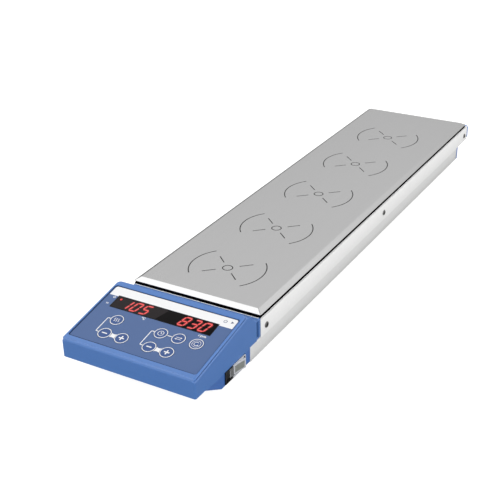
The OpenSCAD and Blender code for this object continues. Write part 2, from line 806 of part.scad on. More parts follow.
module head_body() {
    collar_x = half_w - collar_inset;
    collar_in = min(collar_x - head_t, x_inside - head_t);
    y_collar = y_head + y_back;
    color(blue) difference() {
        union() {
            difference() {
                intersection() {
                    side_prism(body_w) translate([y_head, 0]) polygon(body_outline());
                    end_prism(y_head - 1, y_back + 2) trough_section(0, z_base, above);
                    linear_extrude(above) head_plan(y_back);
                }
                intersection() {
                    side_prism(body_w) translate([y_head, 0]) polygon(body_hollow());
                    end_prism(y_head - 1, y_back + 4) trough_section(head_t, z_base, above);
                }
            }
            difference() {
                box([-collar_x, y_collar - head_t, z_step], [collar_x, y_wall0, z_rim]);
                box([-collar_in, y_collar - head_t - 1, z_step + head_t],
                    [collar_in, y_wall0 + 1, z_rim - head_t]);
            }
            for (x = [-x_inside, x_inside - head_t])
                box([x, y_wall0 - head_t, z_step + head_t], [x + head_t, y_wall0 + tongue_l, z_wall - fit]);
            for (p = cover_bosses)
                translate([p[0], y_head + p[1], p[2] + weld])
                    cylinder(z_joint(p[1]) - cover_boss_h - p[2] - weld, r = boss_r);
            for (p = control_bosses)
                translate([p[0], y_head + p[1], z_base + weld])
                    cylinder(z_control - z_base - weld, r = keypad_boss_r);
        }
        for (p = cover_bosses) translate([p[0], y_head + p[1], p[2]]) {
            translate([0, 0, -1]) cylinder(cover_recess + 1, r = cover_screw_head_r + fit);
            cylinder(above, r = cover_screw_r + screw_gap);
        }
        for (p = control_bosses)
            translate([p[0], y_head + p[1], z_base + head_t / 2])
                cylinder(above, r = small_screw_r + screw_gap);
        box([half_w - switch_depth - fit, y_switch0 - fit, z_switch - switch_h / 2 - fit],
            [half_w + 1, y_switch1 + fit, z_switch + switch_h / 2 + fit]);
        side_screw_holes(side_screw_r + screw_gap);
    }
}

// The cover before its openings: a slab in the panel's plane with a chamfered rim
module cover_slab() {
    front = -panel_inset / cos(panel_slope);
    back = (cover_l - panel_inset) / cos(panel_slope);
    spare = 2;
    intersection() {
        on_panel() side_prism(body_w)
            polygon([[front - spare, -cover_joint], [back + spare, -cover_joint],
                     [back + spare, rim_h - rim_chamfer - spare], [back - rim_chamfer, rim_h],
                     [front + rim_chamfer, rim_h], [front - spare, rim_h - rim_chamfer - spare]]);
        on_panel() end_prism(front - spare, back - front + 2 * spare)
            polygon([[-half_w, -cover_joint], [half_w, -cover_joint], [half_w, rim_h - rim_side],
                     [half_w - rim_side, rim_h], [-half_w + rim_side, rim_h],
                     [-half_w, rim_h - rim_side]]);
        linear_extrude(above) head_plan(cover_l);
    }
}

// The opening under the window, on the panel
module window_opening(margin, low, high) {
    on_panel(0, 0, low)
        translate([window_left - margin, window_front - margin, 0])
            cube([window_w + 2 * margin, window_l + 2 * margin, high - low]);
}

module head_cover() {
    panel_corner = 2;
    color(blue) difference() {
        union() {
            cover_slab();
            for (p = cover_bosses)
                translate([p[0], y_head + p[1], z_joint(p[1]) - cover_boss_h])
                    cylinder(cover_boss_h + weld, r = boss_r);
            for (p = keypad_bosses)
                on_panel(p[0], p[1], -keypad_depth)
                    cylinder(keypad_depth - cover_joint + weld, r = keypad_boss_r);
        }
        on_panel(0, 0, -membrane_t) linear_extrude(5) rounded_rect(panel_w, panel_l, panel_corner);
        window_opening(screw_gap, -window_t, 5);
        window_opening(-window_ledge, -cover_joint - 1, 5);
        for (k = keys) {
            on_panel(k[1], k[2], -key_floor) cylinder(5, r = key_hole_r);
            on_panel(k[1], k[2], -cover_joint - 1) cylinder(5, r = key_stem_r + key_stem_gap);
        }
        for (p = cover_bosses)
            translate([p[0], y_head + p[1], z_joint(p[1]) - cover_boss_h - 1])
                cylinder(cover_boss_h, r = cover_screw_r + screw_gap);
        for (p = keypad_bosses)
            on_panel(p[0], p[1], -keypad_depth - 1)
                cylinder(small_screw_l - board_t + 1 + fit, r = small_screw_r + screw_gap);
    }
}

module cover_screws() {
    color(zinc) for (p = cover_bosses) {
        top = z_joint(p[1]) - 1.5;
        seat = p[2] + cover_recess;
        translate([p[0], y_head + p[1], seat - cover_screw_head_h]) {
            cylinder(cover_screw_head_h, r = cover_screw_head_r);
            cylinder(top - seat + cover_screw_head_h, r = cover_screw_r);
        }
    }
}

module panel_membrane() {
    edge = 0.1;
    color([0.37, 0.46, 0.63]) difference() {
        on_panel(0, edge, -membrane_t)
            linear_extrude(membrane_t) rounded_rect(panel_w - 2 * edge, panel_l - 2 * edge, 2);
        window_opening(screw_gap, -membrane_t - 1, 5);
        for (k = keys) on_panel(k[1], k[2], -5) cylinder(10, r = key_hole_r);
    }
}

module key(k) {
    color([0.33, 0.42, 0.62]) on_panel(k[1], k[2], 0) {
        translate([0, 0, -key_skin]) cylinder(key_skin + key_proud, r = key_r);
        translate([0, 0, -key_stem_end]) cylinder(key_stem_end, r = key_stem_r);
    }
}

module display_window() {
    color([0.15, 0.14, 0.15]) window_opening(0, -window_t, 0);
}

// A number display on the keypad board, under the window
module number_display(u, w) {
    on_panel(u - w / 2, display_v - display_l / 2, -keypad_depth)
        cube([w, display_l, keypad_depth - display_top]);
}

module temperature_display() {
    color([0.3, 0.05, 0.05]) number_display(temperature_display_u, temperature_display_w);
}

module speed_display() {
    color([0.3, 0.05, 0.05]) number_display(speed_display_u, speed_display_w);
}

module status_light() {
    color([0.85, 0.15, 0.1]) on_panel(light_u, light_v, -keypad_depth)
        cylinder(keypad_depth - display_top, r = light_r);
}

module keypad_board() {
    color(board_green) difference() {
        on_panel(-keypad_w / 2, keypad_v0, -keypad_under)
            cube([keypad_w, keypad_v1 - keypad_v0, board_t]);
        for (p = keypad_bosses)
            on_panel(p[0], p[1], -keypad_under - 1) cylinder(board_t + 2, r = small_screw_r + screw_gap);
    }
}

module key_switches() {
    color(black) for (k = keys) difference() {
        on_panel(k[1] - key_switch_w / 2, k[2] - key_switch_w / 2, -keypad_depth)
            cube([key_switch_w, key_switch_w, keypad_depth - key_switch_top]);
        on_panel(k[1], k[2], -key_switch_floor) cylinder(key_switch_floor, r = key_stem_r + key_gap);
    }
}

module control_board() {
    color(board_green) difference() {
        box([control_x0, y_head + control_y0, z_control],
            [control_x0 + control_w, y_head + control_y0 + control_l, z_control + board_t]);
        for (p = control_bosses)
            translate([p[0], y_head + p[1], 0]) cylinder(above, r = small_screw_r + screw_gap);
    }
}

module ribbon_cable() {
    low = z_control + board_t;
    function z_keypad(y) = z_panel(y) - keypad_under / cos(panel_slope);
    color([0.5, 0.5, 0.52]) translate([ribbon_x + ribbon_w / 2, y_head, 0]) side_prism(ribbon_w)
        polygon([[ribbon_y, low], [ribbon_y + cable_t, low],
                 [ribbon_y + cable_t, z_keypad(ribbon_y + cable_t)], [ribbon_y, z_keypad(ribbon_y)]]);
}

// Places its child at the rocker's pivot
module at_rocker() {
    translate([half_w - rocker_pivot, y_head + switch_y, z_switch]) children();
}

module switch_frame() {
    pocket = rocker_pivot;
    color(black) difference() {
        box([half_w - switch_depth, y_switch0, z_switch - switch_h / 2],
            [half_w + switch_proud, y_switch1, z_switch + switch_h / 2]);
        at_rocker() translate([-pocket, -rocker_reach, -rocker_h / 2 - rocker_gap])
            cube([pocket + rocker_pivot + 5, 2 * rocker_reach, rocker_h + 2 * rocker_gap]);
        at_rocker() translate([0, 0, -switch_h]) cylinder(2 * switch_h, r = rocker_pin_r + pin_gap);
    }
}

module switch_rocker() {
    dip = 0.8;
    back = 2;
    back_half = rocker_l / 2 - 3;
    color([0.62, 0.63, 0.65]) at_rocker() rotate([0, 0, -rocker_tilt]) {
        translate([0, 0, -rocker_h / 2]) linear_extrude(rocker_h)
            polygon([[rocker_face, -rocker_l / 2], [rocker_face - dip, 0], [rocker_face, rocker_l / 2],
                     [-back, back_half], [-back, -back_half]]);
        translate([0, 0, -switch_h / 2]) cylinder(switch_h, r = rocker_pin_r);
    }
}

set_up_plate();
plate_seal();
plate_studs();
plate_nuts();
heater_mat();
insulation_sheet();
temperature_sensor();
thermal_cutout();
carrier_frame();
housing_shell();
side_screws();
rubber_feet();
foot_screws();
rear_cap();
mains_gland();
gland_nut();
terminal_block();
wiring_loom();
power_supply();
drive_board();
board_spacers();
board_screws();
drive_cable();
head_body();
head_cover();
cover_screws();
panel_membrane();
display_window();
temperature_display();
speed_display();
status_light();
keypad_board();
key_switches();
control_board();
ribbon_cable();
switch_frame();
switch_rocker();
for (k = keys) key(k);
for (i = [1:position_count]) drive_yoke(i);
for (i = [1:position_count]) coil_bobbins(i);
for (i = [1:position_count]) coil_windings(i);
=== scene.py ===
import json
import math

import bpy
import numpy as np
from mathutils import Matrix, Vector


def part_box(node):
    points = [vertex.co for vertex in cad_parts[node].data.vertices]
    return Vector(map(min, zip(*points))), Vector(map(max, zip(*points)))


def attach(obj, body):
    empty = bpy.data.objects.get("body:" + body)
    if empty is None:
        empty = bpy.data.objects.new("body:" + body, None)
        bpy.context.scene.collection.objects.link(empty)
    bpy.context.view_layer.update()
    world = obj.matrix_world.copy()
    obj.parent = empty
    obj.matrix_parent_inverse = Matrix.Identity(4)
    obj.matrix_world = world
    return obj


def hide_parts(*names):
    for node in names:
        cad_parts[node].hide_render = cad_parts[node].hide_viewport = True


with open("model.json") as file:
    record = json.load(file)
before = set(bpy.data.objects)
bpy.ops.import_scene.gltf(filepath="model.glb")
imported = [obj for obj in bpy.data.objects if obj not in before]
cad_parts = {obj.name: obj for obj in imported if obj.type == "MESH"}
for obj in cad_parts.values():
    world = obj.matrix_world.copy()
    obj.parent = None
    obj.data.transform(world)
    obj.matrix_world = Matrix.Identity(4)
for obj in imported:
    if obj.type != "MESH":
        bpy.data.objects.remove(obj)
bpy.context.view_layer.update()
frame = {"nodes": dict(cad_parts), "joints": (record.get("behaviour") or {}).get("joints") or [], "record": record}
nodes = frame["nodes"]
mm = 0.001  # all sizes below are in millimetres
print("frame loaded:", len(nodes), "nodes")


# lowest and highest corner of a CAD node
def nodeBox(name):
    low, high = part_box(name)
    return np.array(low) / mm, np.array(high) / mm


# the joint that moves a body
def jointOf(body):
    return next(joint for joint in frame["joints"] if joint["child"] == body)


plateLow, plateHigh = nodeBox("set_up_plate")
halfWidth = plateHigh[0]
headFront = nodeBox("head_body")[0][1]
shellBack = nodeBox("housing_shell")[1][1]

panel = {
    "inset": 5.8,  # front edge of the panel, behind the head's face
    "length": 59.0,  # up the slope
    "halfWidth": 54.0,
    "filmGap": 0.1,  # between the film's edge and the rim
    "front": -1.0,  # where the film ends in front, from the panel's edge
}
pressAxis = jointOf("heat_key")["axis"]
slope = math.atan2(pressAxis[1], -pressAxis[2])
panelY = headFront + panel["inset"]
panelZ = nodeBox("panel_membrane")[1][2] - (panel["length"] - panel["filmGap"]) * math.sin(slope)


# points in metres from x, y and z, each spread to the shape of the others
def inMetres(x, y, z):
    return np.stack(np.broadcast_arrays(x, y, z), -1) * mm


# across, up the slope and out of the film: the level plane turned about X by the slope
def onPanel(across, up, out):
    cos, sin = math.cos(slope), math.sin(slope)
    return inMetres(across, panelY + up * cos - out * sin, panelZ + up * sin + out * cos)


# places on the plate's top: across, along and out of it
def onPlate(across, along, out):
    return inMetres(across, along, plateHigh[2] + out)


# a closed grid of points (rows, columns, xyz): columns go round, rows end in caps or go round too;
# the faces are turned so that the enclosed volume, the sum of their signed cones, is positive
def gridShell(points, closeRows=False, uv=None):
    rows, cols = points.shape[:2]
    index = np.arange(rows * cols).reshape(rows, cols)
    first = index if closeRows else index[:-1]
    second = np.roll(index, -1, 0) if closeRows else index[1:]
    quads = np.stack([first, np.roll(first, -1, 1), np.roll(second, -1, 1), second], -1).reshape(-1, 4)
    caps = [] if closeRows else [index[0][::-1], index[-1]]
    flat = points.reshape(-1, 3)
    spots = flat - flat.mean(0)
    a, b, c, d = (spots[quads[:, k]] for k in range(4))
    volume = (a * np.cross(b, c)).sum() + (a * np.cross(c, d)).sum()
    volume += sum((spots[cap[0]] * np.cross(spots[cap[1:-1]], spots[cap[2:]])).sum() for cap in caps)
    if volume < 0:
        quads = quads[:, ::-1]
        caps = [cap[::-1] for cap in caps]
    if uv is None:
        uv = np.stack(np.meshgrid(np.linspace(0, 1, cols), np.linspace(0, 1, rows)), -1)
    return flat, quads, caps, uv.reshape(-1, 2)


# a loop round a rectangle with a quarter circle at each corner: centre + radius * (cos, sin)
def roundedLoop(left, right, front, back, frontR, backR, steps=8):
    left, right, front, back, frontR, backR = (
        np.asarray(value, float)[..., None] for value in (left, right, front, back, frontR, backR))
    quarter = np.linspace(0, math.pi / 2, steps + 1)
    corners = [(right - frontR, front + frontR, frontR), (right - backR, back - backR, backR),
               (left + backR, back - backR, backR), (left + frontR, front + frontR, frontR)]
    angles = [quarter + (k - 1) * math.pi / 2 for k in range(4)]
    u = np.concatenate([x + r * np.cos(a) for (x, y, r), a in zip(corners, angles)], -1)
    v = np.concatenate([y + r * np.sin(a) for (x, y, r), a in zip(corners, angles)], -1)
    return u, v


# rounded rectangles stacked into a shell, each row being (left, right, front, back, out, frontR, backR)
def loft(rows, place, closeRows=False):
    left, right, front, back, out, frontR, backR = np.array(rows, float).T
    u, v = roundedLoop(left, right, front, back, frontR, backR)
    return gridShell(place(u, v, out[:, None]), closeRows)


# a row of a loft: a rectangle drawn in by the inset on all sides, with equal corners
def insetRow(left, right, front, back, inset, out, corner):
    return left + inset, right - inset, front + inset, back - inset, out, corner, corner


# an outline of (u, v) points carried straight from one level to another
def slab(outline, low, high, place):
    u, v = np.array(outline, float).T
    return gridShell(place(u, v, np.array([[low], [high]])))


# a profile of (radius, out) points turned about a centre: u = cu + r cos a, v = cv + r sin a;
# where a row's hex share is above 0, r is drawn towards a hexagon's edge, r cos 30 / cos(a within its side)
def turned(profile, centre, place, sides=48, hexShare=0):
    radius, out = np.array(profile, float).T
    angle = np.linspace(0, 2 * math.pi, sides, endpoint=False)
    flat = math.cos(math.pi / 6) / np.cos((angle + math.pi / 6) % (math.pi / 3) - math.pi / 6)
    share = np.broadcast_to(hexShare, radius.shape)[:, None]
    reach = radius[:, None] * (1 - share + share * flat)
    u, v = centre[0] + reach * np.cos(angle), centre[1] + reach * np.sin(angle)
    return gridShell(place(u, v, out[:, None]))


# a flat bar carried along a path of (u, v) points: each point is moved to both sides along the mitre,
# the mean of its neighbours' normals over the cosine of half the turn; UV's u runs across the bar
def ribbon(path, width, low, high, place, closed=False):
    path = np.array(path, float)
    step = np.roll(path, -1, 0) - path
    step /= np.maximum(np.linalg.norm(step, axis=1, keepdims=True), 1e-9)
    before = np.roll(step, 1, 0)
    if not closed:
        before[0] = step[0]
        step[-1] = before[-1]
    mitre = np.stack([-(step + before)[:, 1], (step + before)[:, 0]], -1)
    mitre *= 2 / (mitre ** 2).sum(1, keepdims=True)
    side = mitre * np.broadcast_to(width, len(path))[:, None] / 2
    u, v = np.stack([path + side, path + side, path - side, path - side], 1).transpose(2, 0, 1)
    points = place(u, v, np.array([low, high, high, low]))
    along = np.linspace(0, 1, len(path))[:, None]
    uv = np.stack(np.broadcast_arrays(np.array([0.0, 0.0, 1.0, 1.0]), along), -1)
    return gridShell(points, closed, uv)


# points on a circle: centre + radius * (cos, sin) between two angles in degrees
def arc(centre, radius, start, end, count=24):
    angle = np.radians(np.linspace(start, end, count))
    return np.stack([centre[0] + radius * np.cos(angle), centre[1] + radius * np.sin(angle)], -1)


# a whole circle, without the point that would repeat its first
def ring(centre, radius, count=48):
    return arc(centre, radius, 0, 360, count + 1)[:-1]


# a path whose inner corners become curves, (1-t)^2 a + 2 t (1-t) corner + t^2 b, where a lies a cut before
# the corner and b a cut after it
def easedPath(points, cut, steps=6):
    points = np.array(points, float)
    t = np.linspace(0, 1, steps + 1)[:, None]
    parts = [points[:1]]
    for last, corner, after in zip(points[:-2], points[1:-1], points[2:]):
        a = corner + (last - corner) * cut / np.linalg.norm(last - corner)
        b = corner + (after - corner) * cut / np.linalg.norm(after - corner)
        parts.append((1 - t) ** 2 * a + 2 * t * (1 - t) * corner + t ** 2 * b)
    return np.concatenate(parts + [points[-1:]])


rounding = {
    "segments": 3,
    "bevelFrom": math.radians(25),  # edges that turn by more are rounded
    "sharpFrom": math.radians(28),  # edges that turn by more stay sharp where nothing is rounded
}


# rounded edges, with normals that follow the larger faces
def softEdges(piece, width):
    bevel = piece.modifiers.new("soft edges", "BEVEL")
    bevel.width = width * mm
    bevel.segments = rounding["segments"]
    bevel.limit_method = "ANGLE"
    bevel.angle_limit = rounding["bevelFrom"]
    normals = piece.modifiers.new("face normals", "WEIGHTED_NORMAL")
    normals.weight = 100
    normals.keep_sharp = True


# an object in the scene that shows a mesh or a camera
def addObject(name, data):
    item = bpy.data.objects.new(name, data)
    bpy.context.scene.collection.objects.link(item)
    return item


# shells joined into one mesh with a finish, riding on a body and standing for CAD nodes
def makePiece(name, shells, material, body="base", stands=(), soften=0.0):
    starts = np.cumsum([0] + [len(shell[0]) for shell in shells[:-1]])
    faces = []
    for start, (_, quads, caps, _) in zip(starts, shells):
        faces += (quads + start).tolist() + [(cap + start).tolist() for cap in caps]
    mesh = bpy.data.meshes.new(name)
    mesh.from_pydata(np.concatenate([shell[0] for shell in shells]).tolist(), [], faces)
    corners = np.empty(len(mesh.loops), np.int32)
    mesh.loops.foreach_get("vertex_index", corners)
    uv = np.concatenate([shell[3] for shell in shells])
    mesh.uv_layers.new(name="across").data.foreach_set("uv", uv[corners].ravel())
    mesh.polygons.foreach_set("use_smooth", np.ones(len(mesh.polygons), bool))
    mesh.set_sharp_from_angle(angle=rounding["sharpFrom"])
    mesh.materials.append(material)
    piece = addObject(name, mesh)
    if soften:
        softEdges(piece, soften)
    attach(piece, body)
    if stands:
        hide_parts(*stands)


# a shader node with its settings; each input takes a value, or a link from another node's socket
def addNode(tree, kind, inputs=None, **settings):
    node = tree.nodes.new("ShaderNode" + kind)
    for key, value in settings.items():
        setattr(node, key, value)
    for key, value in (inputs or {}).items():
        if isinstance(value, bpy.types.NodeSocket):
            tree.links.new(value, node.inputs[key])
        else:
            node.inputs[key].default_value = value
    return node


# a node group of plain values: inputs with their defaults, and outputs
def newGroup(name, inputs, outputs):
    tree = bpy.data.node_groups.new(name, "ShaderNodeTree")
    for key, value in inputs.items():
        socket = tree.interface.new_socket(name=key, in_out="INPUT", socket_type="NodeSocketFloat")
        socket.default_value = value
    for key in outputs:
        tree.interface.new_socket(name=key, in_out="OUTPUT", socket_type="NodeSocketFloat")
    return tree, tree.nodes.new("NodeGroupInput"), tree.nodes.new("NodeGroupOutput")


# moulded or sprayed surface: fine grain for the bump, wide soft patches for colour and gloss
def grainGroup():
    scales = {"Grain Scale": 1500, "Patch Scale": 30}
    tree, given, result = newGroup("surface grain", scales, ["Height", "Patch"])
    place = addNode(tree, "TexCoord").outputs["Object"]
    for scale, output, detail in (("Grain Scale", "Height", 3), ("Patch Scale", "Patch", 2)):
        noise = addNode(tree, "TexNoise", {
            "Vector": place, "Scale": given.outputs[scale], "Detail": detail, "Roughness": 0.55})
        tree.links.new(noise.outputs["Fac"], result.inputs[output])
    return tree


# fine lines along Y: noise whose Y is squeezed by the stretch
def brushGroup():
    tree, given, result = newGroup("brushed lines", {"Scale": 900, "Stretch": 60}, ["Lines"])
    place = addNode(tree, "TexCoord").outputs["Object"]
    squeeze = addNode(tree, "Math", {0: 1.0, 1: given.outputs["Stretch"]}, operation="DIVIDE")
    factors = addNode(tree, "CombineXYZ", {"X": 1.0, "Y": squeeze.outputs[0], "Z": 1.0})
    scaled = addNode(tree, "VectorMath", {0: place, 1: factors.outputs[0]}, operation="MULTIPLY")
    noise = addNode(tree, "TexNoise", {"Vector": scaled.outputs[0], "Scale": given.outputs["Scale"],
                                       "Detail": 2, "Roughness": 0.6})
    tree.links.new(noise.outputs["Fac"], result.inputs["Lines"])
    return tree


surfaceGrain = grainGroup()
brushedLines = brushGroup()


# the nodes of a finish, and its shader
def nodesOf(material):
    return material.node_tree, material.node_tree.nodes["Principled BSDF"]


# a new finish with the plain values of its shader
def newMaterial(name, plain):
    material = bpy.data.materials.new(name)
    material.use_nodes = True
    tree, shader = nodesOf(material)
    for key, value in plain.items():
        shader.inputs[key].default_value = value
    return material, tree, shader


# the first colour where the factor is 0, the second where it is 1
def mixColours(tree, factor, first, second, target):
    mix = addNode(tree, "Mix", {0: factor, 6: (*first, 1), 7: (*second, 1)}, data_type="RGBA")
    tree.links.new(mix.outputs[2], target)


# noise, which lies mostly between 0.3 and 0.7, spread over low to high
def spread(tree, factor, low, high, target):
    change = addNode(tree, "MapRange", {
        "Value": factor, "From Min": 0.3, "From Max": 0.7, "To Min": low, "To Max": high})
    tree.links.new(change.outputs[0], target)


# colour and gloss that go with a mask: to colour * (1 - shade), and from rough - vary to rough + vary
def shift(tree, shader, mask, colour, shade, rough, vary):
    mixColours(tree, mask, colour, np.multiply(colour, 1 - shade), shader.inputs["Base Color"])
    spread(tree, mask, rough - vary, rough + vary, shader.inputs["Roughness"])


# relief that follows a height between 0 and 1, its depth in millimetres
def addBump(tree, shader, height, strength, depth):
    bump = addNode(tree, "Bump", {"Height": height, "Strength": strength, "Distance": depth * mm})
    tree.links.new(bump.outputs[0], shader.inputs["Normal"])


# grain in the bump, and soft patches that shift the colour and the gloss a little
def grainFinish(name, colour, rough, metal=0.0, grain=1500, patch=30, bump=0.15, shade=0.06, vary=0.05,
                gloss=0.5):
    material, tree, shader = newMaterial(name, {"Metallic": metal, "Specular IOR Level": gloss})
    scales = {"Grain Scale": grain, "Patch Scale": patch}
    group = addNode(tree, "Group", scales, node_tree=surfaceGrain)
    shift(tree, shader, group.outputs["Patch"], colour, shade, rough, vary)
    addBump(tree, shader, group.outputs["Height"], bump, depth=0.1)
    return material


# a finish whose tone changes with z: its colour times a ramp of tones, each a grey or a colour, at shares
# of a height in millimetres; the ramps below paint shade into the colour
def heightFinish(name, colour, tones, rough, height=34, **grainValues):
    material = grainFinish(name, colour, rough, **grainValues)
    tree, shader = nodesOf(material)
    place = addNode(tree, "TexCoord").outputs["Object"]
    split = addNode(tree, "SeparateXYZ", {0: place})
    share = addNode(tree, "Math", {0: split.outputs["Z"], 1: height * mm}, operation="DIVIDE")
    ramp = addNode(tree, "ValToRGB", {0: share.outputs[0]})
    while len(ramp.color_ramp.elements) < len(tones):
        ramp.color_ramp.elements.new(0.5)
    for stop, (position, tone) in zip(ramp.color_ramp.elements, tones):
        stop.position = position
        stop.color = (*np.multiply(tone, (1, 1, 1)), 1)
    patches = shader.inputs["Base Color"].links[0].from_socket
    both = {0: 1.0, 6: ramp.outputs[0], 7: patches}
    toned = addNode(tree, "Mix", both, data_type="RGBA", blend_type="MULTIPLY")
    tree.links.new(toned.outputs[2], shader.inputs["Base Color"])
    return material


# matt stainless sheet with faint lines along its length; grazing dims what it mirrors at low angles
def steelFinish(name, colour, rough, scale=900, stretch=60, bump=0.01, shade=0.02, vary=0.015, grazing=0.5):
    tint = (grazing, grazing, grazing, 1)
    material, tree, shader = newMaterial(name, {"Metallic": 1.0, "Specular Tint": tint})
    group = addNode(tree, "Group", {"Scale": scale, "Stretch": stretch}, node_tree=brushedLines)
    lines = group.outputs["Lines"]
    shift(tree, shader, lines, colour, shade, rough, vary)
    addBump(tree, shader, lines, bump, depth=0.05)
    return material


# dark glossy filter with a painted reflection: a lighter left part and a darker right part, which meet where
# across - lean * along, in millimetres, is at the seam
def filterFinish(name, left, right, seam, lean, blur=0.3, rough=(0.06, 0.12), gloss=0.12):
    material, tree, shader = newMaterial(name, {"Specular IOR Level": gloss})
    place = addNode(tree, "TexCoord").outputs["Object"]
    slant = (1 / mm, -lean / mm, 0)
    across = addNode(tree, "VectorMath", {0: place, 1: slant}, operation="DOT_PRODUCT")
    edge = addNode(tree, "MapRange", {
        "Value": across.outputs["Value"], "From Min": seam - blur, "From Max": seam + blur})
    mixColours(tree, edge.outputs[0], left, right, shader.inputs["Base Color"])
    group = addNode(tree, "Group", node_tree=surfaceGrain)
    spread(tree, group.outputs["Patch"], *rough, shader.inputs["Roughness"])
    return material


# lit bar: the emission is palest along the middle of the ribbon and turns to the edge's colour within
# the reach, a share of the width
def litFinish(name, core, edge, strength, reach=0.26, rough=0.3):
    plain = {"Roughness": rough, "Base Color": (*edge, 1), "Emission Strength": strength}
    material, tree, shader = newMaterial(name, plain)
    uv = addNode(tree, "UVMap", uv_map="across")
    split = addNode(tree, "SeparateXYZ", {0: uv.outputs[0]})
    centred = addNode(tree, "Math", {0: split.outputs["X"], 1: 0.5}, operation="SUBTRACT")
    apart = addNode(tree, "Math", {0: centred.outputs[0]}, operation="ABSOLUTE")
    glow = addNode(tree, "MapRange", {"Value": apart.outputs[0], "From Min": 0, "From Max": reach})
    mixColours(tree, glow.outputs[0], core, edge, shader.inputs["Emission Color"])
    return material


stainless = steelFinish("matt stainless", (0.435, 0.435, 0.435), 0.25)
etched = grainFinish("etched line", (0.025, 0.025, 0.025), 0.6, grain=3000, gloss=0.2)
# tones of the white paint at shares of 34 mm: painted shade that darkens the walls towards the bottom, with a step
# at the lower band's top, and a band of painted shadow (0.35) in the seam under the carrier's lip
wallShadeTones = ((0.15, 0.52), (0.3, 0.62), (0.46, 0.65), (0.5, 0.74), (0.933, 0.83), (0.936, 0.35),
              (0.954, 0.35), (0.957, 0.84))
# painted shade on the blue: 0.62, 0.78, 0.93 of its colour below about 16 mm, where the head's lower sides face
# down
blueShadeTones = ((0.465, (0.62, 0.78, 0.93)), (0.479, 1))
blueGrain = {"grain": 2600, "bump": 0.08, "shade": 0.04}
whitePaint = heightFinish("white powder coat", (1, 1, 0.995), wallShadeTones, 0.45, grain=900, patch=420,
                          bump=0.1, gloss=0.3)
bluePlastic = heightFinish("blue moulding", (0.05, 0.15, 0.41), blueShadeTones, 0.35, gloss=0.75, **blueGrain)
# painted shade: a darker blue that lines the grooves of the cover and the collar
grooveShadeBlue = grainFinish("painted groove shade", (0.022, 0.075, 0.22), 0.5, gloss=0.2, **blueGrain)
filmGrain = {"grain": 3500, "bump": 0.05, "shade": 0.05}
inkGrain = {"grain": 3500, "bump": 0.03}
film = grainFinish("blue film", (0.071, 0.12, 0.256), 0.4, gloss=0.2, **filmGrain)
filmEdgeShade = grainFinish("painted film edge shade", (0.008, 0.017, 0.045), 0.5, gloss=0.1, **filmGrain)
keyFilm = grainFinish("key film", (0.045, 0.085, 0.22), 0.4, gloss=0.2, **filmGrain)
whiteInk = grainFinish("white print", (0.7, 0.7, 0.705), 0.5, shade=0.02, gloss=0.2, **inkGrain)
blueInk = grainFinish("blue print", (0.03, 0.055, 0.13), 0.5, shade=0.03, gloss=0.2, **inkGrain)
blackInk = grainFinish("black print", (0.003, 0.003, 0.003), 0.5, shade=0.03, gloss=0.1, **inkGrain)
blackRubber = grainFinish("black rubber", (0.002, 0.002, 0.002), 0.8, grain=1200, bump=0.2, shade=0.2,
                          gloss=0.02)
blackPlastic = grainFinish("black plastic", (0.01, 0.01, 0.0105), 0.4, grain=2200, shade=0.15, gloss=0.3)
lightPlastic = grainFinish("pale grey plastic", (0.5, 0.51, 0.54), 0.25, grain=2200, bump=0.04)
# painted shade: the grey of the band across the rocker's face before the field
stepShadeGrey = grainFinish("grey plastic", (0.12, 0.122, 0.122), 0.3, grain=2200, bump=0.04)
greyInset = grainFinish("grey inset", (0.2, 0.21, 0.195), 0.3, grain=2200, bump=0.04)
darkScrew = grainFinish("blackened steel", (0.2, 0.2, 0.195), 0.35, metal=1.0, grain=1800, shade=0.2)
print("finishes made")

# the finishes of the CAD nodes, by their slot in the record
slotFinishes = {
    "stainless": stainless,
    "white_paint": whitePaint,
    "blue_plastic": bluePlastic,
    "membrane": film,
    "black_rubber": blackRubber,
    "black_plastic": blackPlastic,
    "dark_screw": darkScrew,
    "zinc": grainFinish("zinc plate", (0.5, 0.5, 0.47), 0.35, metal=1.0, grain=700, shade=0.15),
    "heater": grainFinish("silicone mat", (0.5, 0.12, 0.04), 0.6, grain=400, bump=0.3),
    "insulation": grainFinish("fibre felt", (0.8, 0.78, 0.68), 0.9, grain=500, bump=0.8, shade=0.15),
    "sensor_metal": grainFinish("machined aluminium", (0.6, 0.61, 0.63), 0.3, metal=1.0, grain=900),
    "phenolic": grainFinish("phenolic", (0.03, 0.032, 0.036), 0.45, grain=900, shade=0.2),
    "circuit_board": grainFinish("solder mask", (0.02, 0.11, 0.045), 0.35, grain=300, bump=0.3, shade=0.25),
    "cable": grainFinish("cable sleeve", (0.2, 0.2, 0.21), 0.5, grain=600, bump=0.3, shade=0.1),
    "core_steel": grainFinish("bare steel", (0.2, 0.205, 0.21), 0.4, metal=1.0, grain=500, shade=0.15),
    "bobbin_plastic": grainFinish("nylon", (0.66, 0.6, 0.42), 0.45, grain=900, shade=0.08),
    "copper": grainFinish("enamelled copper", (0.52, 0.16, 0.05), 0.3, metal=1.0, grain=1200, bump=0.4,
                          shade=0.2),
    "window": blackPlastic,
    "display": blackPlastic,
    "rocker_plastic": lightPlastic,
}
for part in frame["record"]["subparts"]:
    mesh = nodes[part["node"]].data
    mesh.materials.clear()
    mesh.materials.append(slotFinishes[part["material_slot"]])

nodeEdges = {
    "weld": 0.002,
    "flat": math.radians(0.6),  # faces that turn by less become one
    # the nodes that show, with the width of their rounded edges
    "widths": {"head_body": 0.4, "rear_cap": 0.6, "housing_shell": 0.35, "carrier_frame": 0.2,
               "plate_seal": 0.06, "rubber_feet": 0.6, "mains_gland": 0.4, "switch_frame": 0.3},
}
for name, width in nodeEdges["widths"].items():
    weld = nodes[name].modifiers.new("weld", "WELD")
    weld.merge_threshold = nodeEdges["weld"] * mm
    planes = nodes[name].modifiers.new("planes", "DECIMATE")
    planes.decimate_type = "DISSOLVE"
    planes.angle_limit = nodeEdges["flat"]
    softEdges(nodes[name], width)
print("CAD nodes finished")

